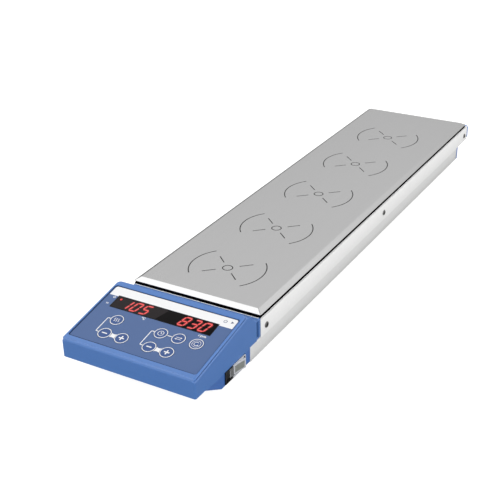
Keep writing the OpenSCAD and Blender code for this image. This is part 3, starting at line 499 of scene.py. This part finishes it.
plate = {
    "bevel": 4.1,  # width of the sloping border
    "sheet": 1.5,
    "hollow": 0.6,  # by which the flat is narrower underneath
    "edge": 0.15,  # upright edge under the border
    "corner": 0.5,
    "soften": 0.18,
}
thick = plateHigh[2] - plateLow[2]
plateSides = plateLow[0], plateHigh[0], plateLow[1], plateHigh[1]
plateProfile = [(plate["bevel"] + plate["hollow"], -plate["sheet"]), (plate["sheet"], -thick), (0, -thick),
                (0, plate["edge"] - thick), (plate["bevel"], 0)]
plateRows = [insetRow(*plateSides, inset, out, plate["corner"]) for inset, out in plateProfile]
makePiece("plate_top", [loft(plateRows, onPlate)], stainless, stands=["set_up_plate"],
          soften=plate["soften"])

marks = {
    "ringR": 4.0,
    "dash": (9.6, 20.6),  # from the middle of the mark
    "arcR": 30.8,
    "halfAngle": 42,
    "line": 0.9,
    "level": (-0.05, 0.015),
}


# a line in the plate's face: a thin bar carried along the path
def etchedLine(path, closed=False):
    return ribbon(path, marks["line"], *marks["level"], onPlate, closed)


yokes = sorted(name for name in nodes if name.startswith("drive_yoke_"))
markShells = []
for name in yokes:
    middle = np.mean(nodeBox(name), 0)[:2]
    markShells.append(etchedLine(ring(middle, marks["ringR"]), True))
    for side in (0, 180):
        span = side + np.array([-1, 1]) * marks["halfAngle"]
        markShells.append(etchedLine(arc(middle, marks["arcR"], *span, 40)))
        for angle in np.radians(span):
            ends = middle + np.outer(marks["dash"], (math.cos(angle), math.sin(angle)))
            markShells.append(etchedLine(ends))
makePiece("position_marks", markShells, etched)

# the seal's lip, a hollow ring that lies on the carrier frame: inset and out for each loop
sealLip = {"loops": ((0.04, -0.2), (0.04, 0.3), (1.0, 0.3), (1.0, -0.2)), "frontGap": -0.25, "corner": 0.5}
rubberTop = nodeBox("carrier_frame")[1][2] - plateHigh[2]
lipSides = plateLow[0], plateHigh[0], plateLow[1] + sealLip["frontGap"], plateHigh[1]
lipRows = [insetRow(*lipSides, inset, rubberTop + out, sealLip["corner"]) for inset, out in sealLip["loops"]]
makePiece("seal_lip", [loft(lipRows, onPlate, True)], blackRubber)
print("plate made with", len(yokes), "marks")

cover = {
    "length": 71.5,  # along the bench, from the head's face
    "joint": -2.5,  # out of the film
    "rim": 0.48,
    "chamfer": ((1.0, 1.6), (3.0, 3.0)),  # of the front and rear edges: along the bench, out of the film
    "frontTilt": math.radians(5),  # by which the strip before the panel is flatter than the film
    "cornerR": (1.5, 3.0),  # front, back
    "panelR": 2.0,
    "floor": -0.75,  # where the film lies
    "soften": 0.12,
    # the side's profile, inset and out: wall, round shoulder, fine groove, rim
    "profile": ((0, -2.42), (0.08, -2.1), (0.25, -1.8), (0.5, -1.56), (1.05, -1.52), (1.05, -0.48),
                (0.38, -0.44), (0.38, -0.1), (0.5, 0.06), (0.8, 0.22), (1.2, 0.35), (1.6, 0.44), (1.9, 0.48)),
    # the painted shade that lines the fine groove: inset and out; how far it stays from the front and rear edges;
    # its corners
    "groove": ((0.95, -1.54), (0.95, -0.46), (1.3, -0.46), (1.3, -1.54)),
    "grooveEnds": 2.5,
    "grooveR": (1.5, 2.5),  # front, back
}


# a place along the bench, from the head's face, as a place up the slope at this level
def upSlope(along, out):
    return (along - panel["inset"] + out * math.sin(slope)) / math.cos(slope)


# a loop of the cover that stands back from its front and rear edges by these lengths along the bench
def coverLoop(inset, out, front, rear, corners):
    return (inset - halfWidth, halfWidth - inset, upSlope(front, out), upSlope(cover["length"] - rear, out),
            out, *corners)


# a row of the side's profile: the front and rear edges are cut off along a straight line
def coverRow(inset, out):
    front, rear = (max(0, out - cover["rim"] + drop) * along / drop for along, drop in cover["chamfer"])
    return coverLoop(inset, out, front, rear, cover["cornerR"])


# places on the cover: before the panel they rise, straight up, by the tangent of the tilt times the way to
# the panel, all of it at the rim and none at the joint
def onCover(across, up, out):
    share = (out - cover["joint"]) / (cover["rim"] - cover["joint"])
    rise = np.clip(panel["front"] - up, 0, None) * math.tan(cover["frontTilt"]) * share
    return onPanel(across, up + rise * math.tan(slope), out + rise)


coverRows = [coverRow(0, cover["joint"])] + [coverRow(inset, out) for inset, out in cover["profile"]]
recess = -panel["halfWidth"], panel["halfWidth"], panel["front"], panel["length"]
coverRows += [insetRow(*recess, 0, out, cover["panelR"]) for out in (cover["rim"], cover["floor"])]
makePiece("head_top", [loft(coverRows, onCover)], bluePlastic, stands=["head_cover"],
          soften=cover["soften"])
# painted shade in the fine groove: a dark hollow ring that stays under the front and rear edges
grooveShadeRows = [coverLoop(inset, out, cover["grooveEnds"], cover["grooveEnds"], cover["grooveR"])
              for inset, out in cover["groove"]]
makePiece("rim_groove_shade", [loft(grooveShadeRows, onPanel, True)], grooveShadeBlue)

collar = {
    "band": (85.7, 88.15, 0.3),  # from, to and inset of the raised band
    "groove": (82.05, 85.75, 0.74),  # the same for the dark ring of painted shade in the groove before it
    "wall": 0.9,
    "z": (17.1, 33.1),
    "corner": 1.5,
    "soften": 0.3,
}


# upright loops across the bench: u is across, v is up, out is along, from the head's face
def acrossBench(across, up, along):
    return inMetres(across, headFront + along, up)


# a hollow ring round the collar: out and back at the inset, and the same a wall further in
def collarRing(start, end, inset):
    inner, rise = inset + collar["wall"], collar["band"][2]
    low, high = collar["z"]
    return loft([insetRow(-halfWidth, halfWidth, low - rise, high + rise, depth, along, collar["corner"])
                 for along, depth in ((start, inset), (end, inset), (end, inner), (start, inner))],
                acrossBench, True)


makePiece("collar_band", [collarRing(*collar["band"])], bluePlastic, soften=collar["soften"])
# a dark ring of painted shade in the collar's groove
makePiece("collar_groove_shade", [collarRing(*collar["groove"])], grooveShadeBlue)

# the carrier's lip, which shows as a light line on the collar in front of the plate
frontLip = {"along": (86.95, 87.8), "z": (32.9, 33.13), "sideGap": 1.3, "corner": 0.08}
lipSides = frontLip["sideGap"] - halfWidth, halfWidth - frontLip["sideGap"], *frontLip["z"]
lipRows = [insetRow(*lipSides, 0, along, frontLip["corner"]) for along in frontLip["along"]]
makePiece("front_lip", [loft(lipRows, acrossBench)], whitePaint)
print("head made")

window = {
    "sides": (-44.6, 42.1, 36.4, 49.6),  # left, right, front, back
    "level": (-1.25, 0.012),
    "corner": 0.3,
    "soften": 0.12,
    "border": 0.6,  # black edge of the filter
    "borderR": 0.2,
    "borderLevel": (-0.2, 0.022),
    "seam": (-2.25, 42.7),  # a point of the line where the painted reflection ends
    "lean": 0.39,  # how far that line leans across for each step up
    "reflectionTints": ((0.0175, 0.0145, 0.0155), (0.002, 0.0012, 0.0014)),  # left, lighter with a painted reflection; right
}
seamAt = onPanel(*window["seam"], 0.0) / mm
leanBench = window["lean"] / math.cos(slope)
filterWithReflection = filterFinish("display filter with painted reflection", *window["reflectionTints"], seamAt[0] - leanBench * seamAt[1], leanBench)
paneRows = [insetRow(*window["sides"], 0, out, window["corner"]) for out in window["level"]]
makePiece("window_pane", [loft(paneRows, onPanel)], filterWithReflection, stands=["display_window"],
          soften=window["soften"])

borderSides = insetRow(*window["sides"], window["border"] / 2, 0, 0)[:4]
borderLoop = roundedLoop(*borderSides, window["borderR"], window["borderR"], steps=3)
border = ribbon(np.stack(borderLoop, -1), window["border"], *window["borderLevel"], onPanel, True)
makePiece("window_border", [border], blackInk)

digits = {
    "width": 4.88,  # between the middles of the strokes
    "height": 9.05,
    "stroke": 1.34,
    "tip": 0.35,  # width of a stroke's ends, as a share of its own
    "glow": 2.6,  # width of the dim light round a stroke
    "gap": 0.16,  # between the tips of two strokes
    "pitch": 8.41,
    "slant": 0.297,
    "level": (-0.1, 0.045),
    "glowLevel": (-0.1, 0.03),
    "numbers": (("105", -36.63, 38.35), ("830", 13.47, 38.4)),  # figures, left and foot
}
# the strokes of a seven-stroke figure, from and to in shares of its width and height
strokes = {"a": ((0, 1), (1, 1)), "b": ((1, 0.5), (1, 1)), "c": ((1, 0), (1, 0.5)), "d": ((0, 0), (1, 0)),
           "e": ((0, 0), (0, 0.5)), "f": ((0, 0.5), (0, 1)), "g": ((0, 0.5), (1, 0.5))}
litStrokes = {"0": "abcdef", "1": "bc", "3": "abcdg", "5": "acdfg", "8": "abcdefg"}


# a stroke of a figure: its ends narrow over half a stroke, and the slant is added as u + slant * v
def figureStroke(key, left, foot, width, level):
    size = np.array([digits["width"], digits["height"]])
    start, end = (np.array(spot) * size for spot in strokes[key])
    along = (end - start) / np.linalg.norm(end - start)
    trims = np.array([digits["gap"], digits["gap"] + digits["stroke"] / 2])[:, None] * along
    path = np.concatenate([start + trims, end - trims[::-1]])

    def slanted(u, v, out):
        return onPanel(left + u + digits["slant"] * v, foot + v, out)
    return ribbon(path, width * np.array([digits["tip"], 1, 1, digits["tip"]]), *level, slanted)


litRed = litFinish("lit figure", (0.95, 0.28, 0.26), (0.29, 0.002, 0.003), 1.0)
dimRed = litFinish("light round a figure", (0.12, 0.002, 0.003), (0.045, 0.001, 0.002), 1.0)
for word, left, foot in digits["numbers"]:
    spots = [(key, left + place * digits["pitch"], foot)
             for place, figure in enumerate(word) for key in litStrokes[figure]]
    for title, width, level, finish in (("figures_", digits["stroke"], digits["level"], litRed),
                                        ("glow_", digits["glow"], digits["glowLevel"], dimRed)):
        makePiece(title + word, [figureStroke(*spot, width, level) for spot in spots], finish)
statusLight = {"at": (-40.4, 46.2), "profile": ((0.95, -0.1), (0.95, 0.01), (0.75, 0.04), (0.3, 0.05))}
redDot = litFinish("status light", (0.5, 0.04, 0.04), (0.4, 0.015, 0.012), 0.8)
makePiece("status_dot", [turned(statusLight["profile"], statusLight["at"], onPanel, 32)], redDot,
          stands=["status_light"])
print("displays made")

keys = {
    "profile": ((2.0, -4.85), (2.0, -0.75), (5.15, -0.75), (5.15, 0.06), (5.02, 0.16), (4.7, 0.2),
                (2.6, 0.24), (0.8, 0.25)),
    "proud": 0.2,
    "ringR": 4.84,
    "ring": 0.5,
    "ringLevel": (0.1, 0.235),
    "symbolLevel": (0.18, 0.285),
    "bold": 0.95,
    "fine": 0.4,
}
# the signs on the keys, from the middle of their key
signs = {
    "waves": (-1.7, 0, 1.7),  # across
    "waveSwing": 0.4,
    "waveHeight": 3.6,
    "clockR": 2.2,
    "hands": ((0, 1.4), (0, 0), (1.1, 0)),
    "reverse": (-2.4, 1.6, 2.7, 0.85),  # tail, neck and tip of an arrow, and how high it lies
    "turn": (1.75, 50, 320),  # radius, start and end of the turning arrow
    "turnTip": (0.6, 0.65),  # from its end
    "turnWay": (0.7, 0.75),
    "turnRing": (3.2, 0.3),  # radius and line of the ring round it
    "bar": (0.57, 2.15),  # from the middle of a plus to the start and end of its upright strokes
}


# the middle of a key, from its node's box: the lowest y is the front of its disc
def keyMiddle(name):
    low, high = nodeBox(name)
    radius = (high[0] - low[0]) / 2
    up = (low[1] - panelY + keys["proud"] * math.sin(slope)) / math.cos(slope) + radius
    return np.array([low[0] + radius, up])


# a bar that narrows from its width to a point, from tip - length * direction to the tip
def arrowHead(tip, direction, length=1.3, width=1.5, point=0.12):
    direction = np.array(direction) / np.linalg.norm(direction)
    return [tip - length * direction, tip], [width, point]


# three heat waves: u = place + swing * sin(2 pi t), v = height * (t - 1/2)
def heatWaves():
    t = np.linspace(0, 1, 21)
    swing, rise = signs["waveSwing"] * np.sin(2 * math.pi * t), signs["waveHeight"] * (t - 0.5)
    return [(np.stack([place + swing, rise], -1), keys["fine"], False) for place in signs["waves"]]


# a ring and two hands
def clockSymbol():
    return [(ring((0, 0), signs["clockR"]), keys["fine"], True), (signs["hands"], keys["fine"], False)]


# two arrows: the second is the first turned by half a turn, (u, v) to (-u, -v)
def reverseSymbol():
    tail, neck, tip, level = signs["reverse"]
    shapes = []
    for way in (1, -1):
        shapes.append(([(tail * way, level * way), (neck * way, level * way)], keys["fine"], False))
        shapes.append((*arrowHead(np.array([tip * way, level * way]), (way, 0)), False))
    return shapes


# an arrow along most of a circle, with a ring round it
def stirSymbol():
    radius, start, end = signs["turn"]
    ringR, line = signs["turnRing"]
    tip = arc((0, 0), radius, end, end, 1)[0] + signs["turnTip"]
    return [(ring((0, 0), ringR), line, True), (arc((0, 0), radius, start, end), keys["fine"], False),
            (*arrowHead(tip, signs["turnWay"], length=1.0, width=1.2), False)]


inner, outer = signs["bar"]
minus = [([(-outer, 0), (outer, 0)], keys["bold"], False)]
uprights = ((0, inner), (0, outer)), ((0, -outer), (0, -inner))
plus = minus + [(stroke, keys["bold"], False) for stroke in uprights]
symbols = {"heat_key": heatWaves(), "timer_key": clockSymbol(), "reverse_key": reverseSymbol(),
           "stir_key": stirSymbol(), "temperature_down_key": minus, "temperature_up_key": plus,
           "speed_down_key": minus, "speed_up_key": plus}
middles = {name: keyMiddle(name) for name in symbols}
for name, shapes in symbols.items():
    middle = middles[name]
    makePiece(name + "_pad", [turned(keys["profile"], middle, onPanel)], keyFilm, name, [name])
    prints = [ribbon(ring(middle, keys["ringR"]), keys["ring"], *keys["ringLevel"], onPanel, True)]
    prints += [ribbon(np.array(path) + middle, width, *keys["symbolLevel"], onPanel, closed)
               for path, width, closed in shapes]
    makePiece(name + "_print", prints, whiteInk, name)
print("keys made:", len(symbols))

ink = {
    "level": (-0.05, 0.03),
    "clear": 5.47,  # from the middle of a key to where its print begins
    "line": 0.65,
    "flare": 25,  # half the angle of a key's edge that the bar meets
    "waist": 1.65,  # half the bar's width at its middle
    "edge": (0.9, 0.35, 0.65, 0.7),  # widths of the dark line of painted shade round the film: left, right, front, back
    "edgeR": 1.75,
    "edgeLevel": (-0.05, 0.02),
    "strip": (-52.5, 52.9, 48.5, 58.2, 1.7),  # left, right, front, back, corner
    "notchGap": 0.15,  # between the strip and the window
    "lead": 7.8,  # how far the linking line stands to the left of its keys
    "leadCut": 0.9,  # where its corners begin to turn
}
keyReach = np.array([ink["clear"], 0])


# the strip behind the window: a band with round rear corners and a notch for the window
def stripOutline():
    left, right, front, back, corner = ink["strip"]
    notchLeft, notchRight, _, notch = insetRow(*window["sides"], -ink["notchGap"], 0, 0)[:4]
    head = [(left, front), (notchLeft, front), (notchLeft, notch), (notchRight, notch), (notchRight, front),
            (right, front)]
    return np.concatenate([head, arc((right - corner, back - corner), corner, 0, 90, 8),
                           arc((left + corner, back - corner), corner, 90, 180, 8)])


# the bar between two keys: its ends follow the keys' holes, and its half width is
# waist + (end - waist) * (2t - 1)^2 between them
def barOutline(first, second):
    start = arc(middles[first], ink["clear"], -ink["flare"], ink["flare"], 7)
    end = arc(middles[second], ink["clear"], 180 - ink["flare"], 180 + ink["flare"], 7)
    t = np.linspace(0, 1, 11)[1:-1]
    level = middles[first][1]
    halves = ink["waist"] + (start[-1, 1] - level - ink["waist"]) * (2 * t - 1) ** 2
    u = start[-1, 0] + (end[0, 0] - start[-1, 0]) * t
    return np.concatenate([start, np.stack([u, level + halves], -1), end,
                           np.stack([u, level - halves], -1)[::-1]])


# a straight line from one key's edge to the next
def link(first, second):
    return middles[first] + keyReach, middles[second] - keyReach


# from the upper key's left edge outwards, down and back in to the lower key
def lead(upper, lower):
    corner = np.array([ink["lead"], 0])
    return easedPath([middles[upper] - keyReach, middles[upper] - corner, middles[lower] - corner,
                      middles[lower] - keyReach], ink["leadCut"])


# a printed line: a thin bar carried along the path
def onFilm(path, width, closed=False):
    return ribbon(path, width, *ink["level"], onPanel, closed)


inkShells = [slab(stripOutline(), *ink["level"], onPanel)]
for first, second in (("temperature_down_key", "temperature_up_key"), ("speed_down_key", "speed_up_key")):
    inkShells.append(slab(barOutline(first, second), *ink["level"], onPanel))
for upper, lower in (("heat_key", "temperature_down_key"), ("timer_key", "speed_down_key")):
    inkShells.append(onFilm(lead(upper, lower), ink["line"]))
inkShells.append(onFilm(link("timer_key", "reverse_key"), ink["line"]))
# units under the window: a degree sign with a C, and r p m
units = {"degree": (-12.6, 34.4), "letters": (37.0, 34.0), "half": 0.8, "tail": 1.5, "archR": 0.42,
         "line": 0.4}
degree, letters = np.array(units["degree"]), np.array(units["letters"])
half, archR, line = units["half"], units["archR"], units["line"]
inkShells += [onFilm(ring(degree + (-1.1, 0.8), 0.42, 16), 0.3, True),
              onFilm(arc(degree + (0.9, 0), 1.0, 50, 310, 20), 0.45)]
inkShells += [onFilm([letters + (place, foot), letters + (place, half)], line)
              for place, foot in ((-2.6, -half), (-0.9, -units["tail"]), (1.2, -half))]
inkShells += [onFilm(arc(letters + (-1.85, 0.1), 0.6, 150, 60, 8), line),
              onFilm(ring(letters + (-0.15, 0), 0.65, 16), line, True)]
inkShells += [onFilm([letters + (place + archR, -half),
                      *arc(letters + (place, 0.25), archR, 0, 180, 8)], line) for place in (1.8, 2.65)]
# two small marks beside the window: a ring and heat waves
sideMarks = {"ringAt": (-46.9, 46.8), "ringR": 0.85, "ring": 0.4, "wavesAt": (-48.1, 39.2), "scale": 0.42,
             "waves": 0.3}
inkShells.append(onFilm(ring(sideMarks["ringAt"], sideMarks["ringR"], 20), sideMarks["ring"], True))
inkShells += [onFilm(path * sideMarks["scale"] + sideMarks["wavesAt"], sideMarks["waves"])
              for path, *_ in heatWaves()]
makePiece("panel_print", inkShells, whiteInk)

# the film's front end, which laps over the film by a hair
filmFront = {"back": 2.2, "corner": (1.75, 0.02), "level": (-0.3, 0.004)}
endHalf = panel["halfWidth"] - panel["filmGap"]
endSides = -endHalf, endHalf, panel["front"] + panel["filmGap"], filmFront["back"]
endRows = [(*endSides, out, *filmFront["corner"]) for out in filmFront["level"]]
makePiece("film_front", [loft(endRows, onPanel)], film)

# a dark line of painted shade round the film's edge, widest on the left and at the back, where the rim's inner
# wall shades the film
left, right, front, back = (panel["filmGap"] + width / 2 for width in ink["edge"])
cornerSteps = 6
edgeLoop = roundedLoop(left - panel["halfWidth"], panel["halfWidth"] - right, panel["front"] + front,
                       panel["length"] - back, ink["edgeR"], ink["edgeR"], cornerSteps)
left, right, front, back = ink["edge"]
edgeShadeWidths = np.repeat([right + front, right + back, left + back, left + front], cornerSteps + 1) / 2
edgeShadeLine = ribbon(np.stack(edgeLoop, -1), edgeShadeWidths, *ink["edgeLevel"], onPanel, True)
makePiece("film_edge_shade", [edgeShadeLine], filmEdgeShade)

# a power sign and an arrow on the strip, which point to the switch
stripMarks = {"power": (44.5, 53.9), "powerR": 1.25, "powerStem": (0.3, 1.6), "line": 0.42,
              "arrow": (50.0, 54.4), "arrowEnds": (-1.0, 1.1), "arrowWidths": (2.2, 0.1), "level": (0, 0.06)}
power, arrow = np.array(stripMarks["power"]), np.array(stripMarks["arrow"])
stripLines = [(arc(power, stripMarks["powerR"], 125, 415), stripMarks["line"]),
              ([power + (0, end) for end in stripMarks["powerStem"]], stripMarks["line"]),
              ([arrow + (end, 0) for end in stripMarks["arrowEnds"]], stripMarks["arrowWidths"])]
makePiece("strip_print", [ribbon(path, width, *stripMarks["level"], onPanel) for path, width in stripLines],
          blueInk)
print("prints made")

rocker = {
    "half": 11.8,  # from the pivot to each end
    "halfHeight": 4.05,
    "bodyHalf": 3.95,
    "bodyGap": 0.6,  # by which the dark body is shorter than the pad
    "face": 5.4,  # from the pivot to the face's ends
    "dip": 0.8,
    "back": (-2.0, 8.8),  # out and half length of the body's back
    "padFront": -5.2,  # where the grey pad begins
    "padDepth": 2.5,
    "padTaper": 1.0,  # by which the pad is shorter at its back
    "sink": 0.35,  # how far the dark half lies under the pad; its black is painted shade on the sunk front half
    "tilt": math.radians(-8),
    "fields": ((-5.0, -1.1, 3.7), (0.1, 10.4, 2.75)),  # front, back and half height of the grey fields: the step is a band of painted shade, the field a grey inset
    "fieldLevel": (-0.2, 0.03),
    "soften": (0.3, 0.2),  # body, pad
}
pivot = np.array(jointOf("switch_rocker")["pos_m"]) / mm


# out, along and up from the pivot, turned about Z by the tilt
def onRocker(out, along, up):
    cos, sin = math.cos(rocker["tilt"]), math.sin(rocker["tilt"])
    return inMetres(pivot[0] + out * cos - along * sin, pivot[1] + out * sin + along * cos, pivot[2] + up)


# the hollow face: out = face - dip * (1 - (along / half)^2)
def rockerFace(along):
    return rocker["face"] - rocker["dip"] * (1 - (along / rocker["half"]) ** 2)


# along, up and out of the hollow face
def onRockerFace(along, up, out):
    return onRocker(rockerFace(along) + out, along, up)


# the face between two places, sunk by a depth, and the points of a back
def rockerOutline(start, end, back, sink):
    along = np.linspace(start, end, 15)
    face = np.stack([rockerFace(along) - sink, along], -1)
    return np.concatenate([face, back])


backOut, backHalf = rocker["back"]
bodySoften, padSoften = rocker["soften"]
# the black body shows on the rocker's sunk front half, where its black is painted shade
bodyEnds = [(backOut, backHalf), (backOut, -backHalf)]
bodySide = rockerOutline(-rocker["half"], rocker["half"] - rocker["bodyGap"], bodyEnds, rocker["sink"])
body = slab(bodySide, -rocker["bodyHalf"], rocker["bodyHalf"], onRocker)
makePiece("rocker_body", [body], blackPlastic, "switch_rocker", ["switch_rocker"],
          soften=bodySoften)
padBack = rocker["face"] - rocker["dip"] - rocker["padDepth"]
padEnds = [(padBack, rocker["half"] - rocker["padTaper"]), (padBack, rocker["padFront"])]
padSide = rockerOutline(rocker["padFront"], rocker["half"], padEnds, 0.0)
pad = slab(padSide, -rocker["halfHeight"], rocker["halfHeight"], onRocker)
makePiece("rocker_pad", [pad], lightPlastic, "switch_rocker", soften=padSoften)
for name, finish, field in zip(("rocker_step_shade", "rocker_field"), (stepShadeGrey, greyInset), rocker["fields"]):
    front, back, half = field
    along = np.linspace(front, back, 9)[:, None]
    low, high = rocker["fieldLevel"]
    ups, outs = np.array([(-half, low), (-half, high), (half, high), (half, low)]).T
    makePiece(name, [gridShell(onRockerFace(along, ups, outs))], finish, "switch_rocker")

# the pale guard round the rocker's rear end: front is from the head's face, over is past the frame's edge
guard = {"front": 47.5, "over": 0.04, "width": 0.8, "level": (-0.58, 0.1), "corner": 0.5, "soften": 0.08}
frameLow, frameHigh = nodeBox("switch_frame")


# along, up and out of the switch frame's face
def onSwitch(along, up, out):
    return inMetres(frameHigh[0] + out, along, up)


guardFront = headFront + guard["front"]
inset = guard["width"] / 2 - guard["over"]
guardBack, guardTop, guardFoot = frameHigh[1] - inset, frameHigh[2] - inset, frameLow[2] + inset
guardPath = easedPath([(guardFront, guardTop), (guardBack, guardTop), (guardBack, guardFoot),
                       (guardFront, guardFoot)], guard["corner"])
makePiece("switch_guard", [ribbon(guardPath, guard["width"], *guard["level"], onSwitch)], lightPlastic,
          soften=guard["soften"])

screws = {
    "profile": ((1.4, -6), (1.4, -0.05), (2.4, 0), (2.4, 0.45), (2.1, 0.82), (1.5, 0.9), (1.3, 0.88),
                (1.2, 0.2)),
    "hexShare": (0, 0, 0, 0, 0, 0, 1, 1),  # the last rows are the hexagon socket
    "inset": 8.2,  # from the ends of the walls
}
screwZ = np.mean(nodeBox("side_screws"), 0)[2]
screwYs = (plateLow[1] + screws["inset"], (plateLow[1] + shellBack) / 2, shellBack - screws["inset"])
screwShells = []
for side in (-1, 1):
    def onWall(along, up, out, side=side):
        return inMetres(side * (halfWidth + out), along, up)
    screwShells += [turned(screws["profile"], (y, screwZ), onWall, 36, screws["hexShare"]) for y in screwYs]
makePiece("wall_screws", screwShells, darkScrew, stands=["side_screws"])
print("switch and screws made")

studio = {
    "low": 1.05,  # brightness of the surroundings near the horizon
    "high": 0.15,  # and straight above
    "between": (0.58, 0.82),  # heights, as sines, where one goes over into the other
    # soft boxes: direction, cosines at the edge and where it is full, brightness
    "boxes": (((-0.5, -0.2, 0.84), (0.9, 0.965), 2.4), ((1, 0.2, 0.2), (0.35, 1.0), 1.2),
              ((0.05, -1, 0.1), (0.35, 1.0), 1.1), ((0.3, 0.68, 0.67), (0.95, 0.995), 0.46),
              ((0.1, 0.4, 0.92), (0.955, 0.985), 1.6), ((-0.5, 0.74, 0.5), (0.88, 0.98), 0.25),
              ((-0.2, 0.95, 0.15), (0.92, 0.99), 0.22)),
    "floor": 4.0,  # half its size in metres
    "floorColour": (0.3, 0.3, 0.3),
    "floorLift": 0.9,  # light added to the floor as it is seen, so that its shadows stay pale
}
camera = {
    "place": (0.360986, -0.716555, 0.403859),
    "turn": (62.80298, 1.10828, 29.85735),
    "focus": 989.907,  # focal length in pixels of the frame
    "frame": 500,
    "sensor": 36,
}


# light that goes smoothly from low to high with z, the sine of the elevation, and soft boxes,
# each of which grows with the cosine of the angle to its direction
def studioWorld():
    world = bpy.data.worlds.new("studio")
    world.use_nodes = True
    tree = world.node_tree
    way = addNode(tree, "TexCoord").outputs["Generated"]
    total = None
    lobes = [((0, 0, 1), studio["between"], studio["low"], studio["high"])]
    lobes += [(direction, span, 0, bright) for direction, span, bright in studio["boxes"]]
    for direction, span, start, end in lobes:
        toward = np.array(direction) / np.linalg.norm(direction)
        cosine = addNode(tree, "VectorMath", {0: way, 1: toward}, operation="DOT_PRODUCT")
        rise = addNode(tree, "MapRange", {
            "Value": cosine.outputs["Value"], "From Min": span[0], "From Max": span[1], "To Min": start,
            "To Max": end}, interpolation_type="SMOOTHSTEP")
        if total:
            rise = addNode(tree, "Math", {0: total, 1: rise.outputs[0]}, operation="ADD")
        total = rise.outputs[0]
    tree.links.new(total, tree.nodes["Background"].inputs["Strength"])
    tree.nodes["Background"].inputs["Color"].default_value = (1, 1, 1, 1)
    bpy.context.scene.world = world


# a pale sheet under the object, a little lighter as the camera sees it
def studioFloor():
    half = studio["floor"]
    mesh = bpy.data.meshes.new("floor")
    corners = [(-half, -half, 0), (half, -half, 0), (half, half, 0), (-half, half, 0)]
    mesh.from_pydata(corners, [], [(0, 1, 2, 3)])
    paper = grainFinish("pale floor", studio["floorColour"], 0.7, grain=200, bump=0.0, shade=0.01, gloss=0.1)
    tree, shader = nodesOf(paper)
    seen = addNode(tree, "LightPath").outputs["Is Camera Ray"]
    lift = addNode(tree, "Math", {0: seen, 1: studio["floorLift"]}, operation="MULTIPLY")
    tree.links.new(lift.outputs[0], shader.inputs["Emission Strength"])
    mesh.materials.append(paper)
    floor = addObject("floor", mesh)


# the lens's focal length is the focus in pixels times the sensor's width over the frame's
def studioCamera():
    lens = bpy.data.cameras.new("camera")
    lens.sensor_width = camera["sensor"]
    lens.lens = camera["focus"] * camera["sensor"] / camera["frame"]
    holder = addObject("camera", lens)
    holder.location = camera["place"]
    holder.rotation_euler = np.radians(camera["turn"])
    bpy.context.scene.camera = holder
    bpy.context.scene.view_settings.view_transform = "Standard"


studioWorld()
studioFloor()
studioCamera()
print("studio set")
